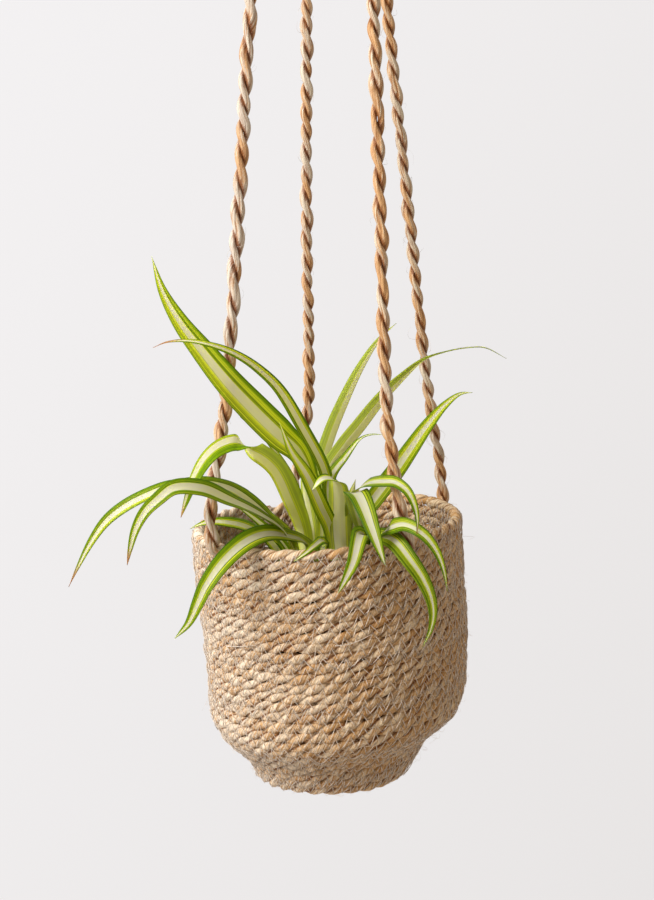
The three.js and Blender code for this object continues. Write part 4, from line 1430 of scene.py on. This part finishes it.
class PLANTER_OT_knot_and_loop(Planter, Operator):
    """Bind the ropes together over the basket and form the loop that goes on a hook"""

    bl_idname = "planter.knot_and_loop"
    bl_label = "Knot and loop"

    def build(self, scene):
        look = scene.planter_rope
        material = jute("bound_jute", look)
        low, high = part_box("gathering_knot")
        centre = np.array(((low.x + high.x) / 2, (low.y + high.y) / 2, 0))
        thick = KNOT_HEIGHT / KNOT_ROWS
        angle = np.linspace(0, 2 * np.pi * KNOT_TURNS, KNOT_POINTS)
        rise = angle / angle[-1]
        radius = (high.x - low.x) / 2 * (1 - KNOT_TAPER * rise**2) - thick / 2
        height = low.z + thick / 2 + (KNOT_HEIGHT - thick) * rise
        path = centre + spiral(angle, radius, height)
        skin = Skin()
        twisted_cord(skin, path, UPWARD, look, KNOT_LAY, KNOT_CURVE, KNOT_CORD_SIDES, thick / look.across)
        core = [(r, KNOT_BOTTOM + z) for r, z in CORE_PROFILE]
        turned(skin, core, CORE_SIDES, KNOT_AXIS, fibre=CORE_FIBRE, shade=CORE_SHADE)
        skin.piece("bound_knot", material, "rope_jute", "gathering_knot")
        self.loop(look, material)

    def loop(self, look, material):
        """Twists the loop that goes over the hook."""
        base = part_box("hanging_loop")[0].z
        right = [(x, 0, base + z) for x, z in LOOP_HALF]
        left = [(-x, 0, base + z) for x, z in reversed(LOOP_HALF)]
        path = curve_through((*right, (0, 0, base + LOOP_TOP), *left), LOOP_STEP)
        skin = Skin()
        twisted_cord(skin, path, np.array((0, 1.0, 0)), look, LOOP_LAY, LOOP_CURVE, LOOP_SIDES, LOOP_SIZE)
        skin.piece("twisted_loop", material, "rope_jute", "hanging_loop")


# The leaves

def seen(point):
    """The place of a leaf's point, from how it is seen."""
    across, up, nearer = point
    ray = AHEAD * EYE_DISTANCE + ABOVE * (up - EYE_AIM) + np.array((across, 0, 0))
    return EYE + ray * (-nearer - EYE[1]) / ray[1]


def back_leaves():
    """The leaves of the back rosette. Their points are places from the rim's middle."""
    x, y = CROWNS["back"]
    for k, (aside, reach) in enumerate(BACK_BLADES):
        fall = BACK_FALL + 2 * reach
        over = x + BACK_START[0] + BACK_START[1] * aside
        path = [
            (over + right * aside, y + behind + out * reach, height - down * fall + lift * k)
            for behind, right, out, height, down, lift in BACK_ARCH
        ]
        width, stripe = BACK_KINDS[k % len(BACK_KINDS)]
        yield Leaf(width, (0, 0), path, stripe=stripe, dry=BACK_DRY * (k % 2))


def blade_width(leaf, s):
    """The width at each share s of the length: half at the foot, then whole, then drawn out to a fine tip."""
    swell = 0.5 + 0.5 * np.sin(np.minimum(s / WIDEST_AT, 1) * np.pi / 2)
    if leaf.slim:
        swell = swell * (SLIM_FOOT + (1 - SLIM_FOOT) * ease((s - SLIM_OVER) / SLIM_OVER))
    outline = FULL_TAPER if leaf.full else PLAIN_TAPER
    taper = (1 - np.clip((s - WIDEST_AT) / (1 - WIDEST_AT), 0, 1) ** outline.bend) ** outline.blunt
    return np.maximum(leaf.width * swell * taper, LEAST_WIDTH)


def blade(skin, leaf, points, look, seed):
    """Adds one blade along its points: a thin closed skin, folded along its midrib, with wavy edges."""
    middle = curve_through(points, look.step)
    s = np.linspace(0, 1, len(middle))
    tangent = unit(np.gradient(middle, axis=0))
    turn = np.interp(s, np.linspace(0, 1, len(leaf.faces)), leaf.faces)
    facing = np.outer(1 - np.abs(turn), (0, 0, 1)) + np.outer(turn, TO_EYE)
    side = unit(np.cross(tangent, facing))
    face = np.cross(side, tangent)
    half = blade_width(leaf, s)[:, None] / 2
    rise = half * (FOLD_AT_FOOT - FOLD_LOSS * np.minimum(s * 2, 1))[:, None]
    across = np.linspace(-1, 1, look.columns)
    fold = np.sqrt(across**2 + MIDRIB_ROUNDING) - 0.5
    reach = s[:, None] * len(middle) * look.step
    wave = stray(reach, BLADE_WAVE, seed) + leaf.ripple * np.sin(reach * 2 * np.pi / RIPPLE_LENGTH)
    waved = half * wave * across * np.abs(across) * ease(s * 4)[:, None]
    thinned_under, thinnest = THINNED_TIP
    tip = np.minimum(1, half / thinned_under + thinnest)
    thick = look.thickness / 2 * (1 - EDGE_THINNING * across**2) * tip
    lift = rise * fold + waved
    flat = middle[:, None] + side[:, None] * (across * half)[..., None]
    top = flat + face[:, None] * (lift + thick)[..., None]
    bottom = flat + face[:, None] * (lift - thick)[..., None]
    rows = np.concatenate((top, bottom[:, ::-1]), axis=1)
    both = np.concatenate((across, across[::-1]))
    upper = np.concatenate((np.ones(look.columns), -np.ones(look.columns))) + 0 * s[:, None]
    carried = {
        "blade": (both, s[:, None], (seed * TONE_STEP) % TONE_RANGE),
        "habit": (leaf.stripe, leaf.aside, leaf.lime),
        "face": (upper, leaf.dry, leaf.bright),
    }
    data = {
        name: np.stack(np.broadcast_arrays(*values, upper)[:3], axis=-1)[:, ::-1]
        for name, values in carried.items()
    }
    skin.tube(rows[:, ::-1], **data)


class PLANTER_OT_leaves(Planter, Operator):
    """Grow the three rosettes of striped blades"""

    bl_idname = "planter.leaves"
    bl_label = "Leaves"

    def build(self, scene):
        look = scene.planter_leaf
        material = leaf_material(look)
        for number, (name, (x, y)) in enumerate(CROWNS.items()):
            if name == "back":
                leaves = [(leaf, [np.array(p) for p in leaf.path]) for leaf in back_leaves()]
            else:
                leaves = [(leaf, [seen(p) for p in leaf.path]) for leaf in LEAVES[name]]
            skin = Skin()
            for k, (leaf, points) in enumerate(leaves):
                lean = points[0][:2] - (x, y)
                lean = lean * min(1, CROWN_REACH / max(np.linalg.norm(lean), TINY))
                foot = np.array((x + lean[0], y + lean[1], CROWN_FOOT))
                seed = BLADE_CURVES[0] + BLADE_CURVES[1] * number + k
                blade(skin, leaf, [p + RIM for p in (foot, *points)], look, seed)
            turned(skin, CROWN_PROFILE, CROWN_SIDES, (x, y), **CROWN_LOOK)
            skin.piece(f"striped_rosette_{name}", material, "spider_leaf", f"spider_plant_{name}")


# The pot and its soil

class PLANTER_OT_pot_and_soil(Planter, Operator):
    """Mould the grow pot that stands in the basket, and fill it with potting mix"""

    bl_idname = "planter.pot_and_soil"
    bl_label = "Pot and soil"

    def build(self, scene):
        look = scene.planter_pot
        self.pot(look)
        self.soil(look)

    def pot(self, look):
        """Moulds the pot: a tapered wall with ridges and a rounded lip."""
        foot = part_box("nursery_pot")[0].z - RIM[2]
        top, wall = -look.top, look.wall
        under_lip = top - LIP_HEIGHT

        def radius(height):
            return look.foot_radius + (look.top_radius - look.foot_radius) * (height - foot) / (top - foot)

        chamfer = POT_FOOT_CHAMFER
        outside = [(radius(foot) - chamfer, foot), (radius(foot), foot + chamfer)]
        for ridge in np.linspace(foot + RIDGE_OVER_FOOT, top - RIDGE_UNDER_TOP, RIDGES):
            outside += [(radius(ridge) + off, ridge + up) for off, up in RIDGE_SHAPE]
        band = [(radius(under_lip), under_lip), (look.top_radius + wall, under_lip + LIP_STEP)]
        rounding = wall * LIP_ROUNDING
        edge = [
            (look.top_radius + wall * math.cos(a), top - rounding + rounding * math.sin(a))
            for a in np.linspace(0, math.pi, LIP_POINTS)
        ]
        inside = [(radius(z) - wall, z) for z in np.linspace(under_lip, foot + POT_FLOOR, INSIDE_POINTS)]
        skin = Skin()
        turned(skin, outside + band + edge + inside, POT_SIDES, POT_AXIS)
        made = skin.piece("moulded_grow_pot", plastic_material(look), "grow_pot_plastic", "nursery_pot")
        self.drain(made, foot)

    def drain(self, pot, foot):
        """Cuts the drain holes through the pot's floor."""
        drills = Skin()
        drill = [(DRAIN_RADIUS, foot + z) for z in DRAIN_DRILL]
        for k in range(DRAINS):
            angle = (k + 0.5) * 2 * math.pi / DRAINS
            place = (POT_AXIS[0] + DRAIN_RING * math.cos(angle), POT_AXIS[1] + DRAIN_RING * math.sin(angle))
            turned(drills, drill, DRAIN_SIDES, place)
        mesh = bpy.data.meshes.new("drill")
        mesh.from_pydata(np.concatenate(drills.points).tolist(), [], drills.faces)
        tool = bpy.data.objects.new("drill", mesh)
        bpy.context.scene.collection.objects.link(tool)
        cut = pot.modifiers.new("drain_holes", "BOOLEAN")
        cut.operation = "DIFFERENCE"
        cut.solver = "EXACT"
        cut.object = tool
        drilled = pot.evaluated_get(bpy.context.evaluated_depsgraph_get())
        pot.data = bpy.data.meshes.new_from_object(drilled)
        pot.modifiers.clear()
        bpy.data.objects.remove(tool)

    def soil(self, look):
        """Fills the pot with lumpy soil, and strews crumbs and pale grit over it."""
        low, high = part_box("potting_soil")
        radius = (high.x - low.x) / 2
        centre = np.array(((low.x + high.x) / 2, (low.y + high.y) / 2, 0))
        rng = np.random.default_rng(SOIL_SEED)
        top = RIM[2] - look.soil_top
        side = [(radius * SOIL_FOOT, low.z), *((radius * part, top - depth) for part, depth in SOIL_EDGE)]
        rings = side + [(radius * part, top) for part in np.linspace(*SOIL_RINGS)]
        angle = np.linspace(0, 2 * np.pi, SOIL_SIDES, endpoint=False)
        rows = np.array([centre + spiral(angle, r, np.full(SOIL_SIDES, z)) for r, z in rings])
        x, y = rows[..., 0], rows[..., 1]
        large = stray(x + 3 * y, SOIL_LARGE_LUMPS) * stray(y - 2 * x, SOIL_CROSS_LUMPS)
        lumps = large + stray(x * SOIL_SLANT - y, SOIL_SMALL_LUMPS)
        rows[len(side):, :, 2] += SOIL_LUMP * lumps[len(side):]
        skin = Skin()
        skin.tube(rows)
        self.grains(skin, centre, radius * CRUMB_AREA, top + CRUMB_LIFT, look.crumbs, CRUMB_SIZES, rng)
        skin.piece("potting_mix", soil_material(look), "soil", "potting_soil")
        grit = Skin()
        self.grains(grit, centre, radius * GRIT_AREA, top + GRIT_LIFT, GRIT_COUNT, GRIT_SIZES, rng)
        grit.piece("soil_grit", grit_material(look), "soil")

    def grains(self, skin, centre, radius, height, count, sizes, rng):
        """Adds small lumps, each a jittered eight-cornered stone, strewn over a disc."""
        corners = np.array([(x, y, z) for x in (-1, 1) for y in (-1, 1) for z in (-1, 1)], float)
        for _ in range(count):
            angle, far = rng.uniform(0, 2 * np.pi), radius * math.sqrt(rng.uniform())
            size = rng.uniform(*sizes) / 2
            spin = np.linalg.qr(rng.normal(size=(3, 3)))[0]
            spin = spin * np.sign(np.linalg.det(spin))
            stone = (unit(corners) * rng.uniform(*STONE_JITTER, (len(corners), 1)) * size) @ spin.T
            place = centre + (far * math.cos(angle), far * math.sin(angle), height)
            skin.add(place + stone, STONE_FACES)


# The stage

class PLANTER_OT_stage(Planter, Operator):
    """Set the camera, the pale floor with its round wall, the soft lamp and the sky"""

    bl_idname = "planter.stage"
    bl_label = "Stage"

    def build(self, scene):
        look = scene.planter_stage
        self.camera(scene)
        self.backdrop(look)
        self.lamp("key_light", Vector(LAMP_PLACE), Vector(RIM), LAMP_SIZE, look.key)
        scene.view_settings.view_transform = "Standard"
        world = bpy.data.worlds.new("soft_white")
        world.use_nodes = True
        sky = world.node_tree.nodes["Background"]
        sky.inputs["Color"].default_value = (1, 1, 1, 1)
        sky.inputs["Strength"].default_value = look.sky
        scene.world = world

    def camera(self, scene):
        """Looks at the planter from the photograph's place."""
        data = bpy.data.cameras.new("viewpoint")
        data.sensor_width = SENSOR
        data.lens = SENSOR * FOCAL_PIXELS / max(FRAME_PIXELS)
        camera = bpy.data.objects.new("viewpoint", data)
        camera.location = Vector(RIM + EYE)
        camera.rotation_euler = (math.pi / 2 - PITCH, 0, 0)
        scene.collection.objects.link(camera)
        scene.camera = camera

    def backdrop(self, look):
        """A wide floor that curves up into a round wall."""
        base = CAD_BOX[0].z - look.floor_drop
        cove = COVE_RADIUS
        profile = [(STAGE_HOLE, 0), (STAGE_RADIUS, 0)]
        for a in np.linspace(COVE_START, math.pi / 2, COVE_POINTS):
            profile.append((STAGE_RADIUS + cove * math.sin(a), cove - cove * math.cos(a)))
        profile.append((STAGE_RADIUS + cove, STAGE_TOP))
        sides = STAGE_SIDES
        angle = np.linspace(0, 2 * np.pi, sides, endpoint=False)
        rows = [spiral(angle, r, np.full(sides, z + base)) for r, z in profile]
        first = np.arange((len(rows) - 1) * sides).reshape(-1, sides)
        second = np.roll(first, -1, axis=1)
        faces = np.stack((first, first + sides, second + sides, second), axis=-1).reshape(-1, 4)
        mesh = bpy.data.meshes.new("floor_and_wall")
        mesh.from_pydata(np.concatenate(rows).tolist(), [], faces.tolist() + [list(range(sides))])
        mesh.shade_smooth()
        shader = Shader(
            "pale_backdrop", Base_Color=BACKDROP_GREY, Roughness=1.0, Specular_IOR_Level=0.0,
            Emission_Strength=BACKDROP_GLOW,
        )
        place = shader.place()
        aside, front = (
            shader.node("ShaderNodeVectorMath", {"operation": "DOT_PRODUCT"}, {0: place, 1: towards}, 1)
            for towards in (DIMMER_TOWARDS, SHADED_TOWARDS)
        )
        glow = shader.mix(look.lit, look.dim, aside.ramp(*DIMMER_RANGE))
        glow = shader.mix(glow, look.shaded, front.ramp(*SHADED_RANGE))
        shader.tree.links.new(glow.socket, shader.surface.inputs["Emission Color"])
        mesh.materials.append(shader.material)
        floor = bpy.data.objects.new("floor_and_wall", mesh)
        bpy.context.scene.collection.objects.link(floor)

    def lamp(self, name, offset, aim, size, power):
        """A round soft light at an offset from the point at which it is aimed."""
        data = bpy.data.lights.new(name, "AREA")
        data.shape = "DISK"
        data.size = size
        data.energy = power
        lamp = bpy.data.objects.new(name, data)
        lamp.location = aim + offset
        lamp.rotation_euler = (-offset).to_track_quat("-Z", "Y").to_euler()
        bpy.context.scene.collection.objects.link(lamp)


class PLANTER_PT_panel(Panel):
    """Lists the planter's sizes, colours and pieces"""

    bl_label = "Planter"
    bl_space_type = "VIEW_3D"
    bl_region_type = "UI"
    bl_category = "Planter"

    def draw(self, context):
        for key, group in SETTINGS.items():
            box = self.layout.box()
            for name in group.__annotations__:
                box.prop(getattr(context.scene, key), name)
        for operator in OPERATORS:
            self.layout.operator(operator.bl_idname)


SETTINGS = {
    "planter_stage": StageSettings,
    "planter_rope": RopeSettings,
    "planter_basket": BasketSettings,
    "planter_leaf": LeafSettings,
    "planter_pot": PotSettings,
}
OPERATORS = (
    PLANTER_OT_stage,
    PLANTER_OT_ropes,
    PLANTER_OT_knot_and_loop,
    PLANTER_OT_basket,
    PLANTER_OT_stitching,
    PLANTER_OT_stray_fibres,
    PLANTER_OT_leaves,
    PLANTER_OT_pot_and_soil,
)
CLASSES = (*SETTINGS.values(), *OPERATORS, PLANTER_PT_panel)


def register():
    for cls in CLASSES:
        bpy.utils.register_class(cls)
    for key, group in SETTINGS.items():
        setattr(Scene, key, PointerProperty(type=group))


def unregister():
    for key in SETTINGS:
        delattr(Scene, key)
    for cls in reversed(CLASSES):
        bpy.utils.unregister_class(cls)


def main():
    register()
    for name in [operator.bl_idname.split(".")[1] for operator in OPERATORS]:
        getattr(bpy.ops.planter, name)()


if __name__ == "__main__":
    main()
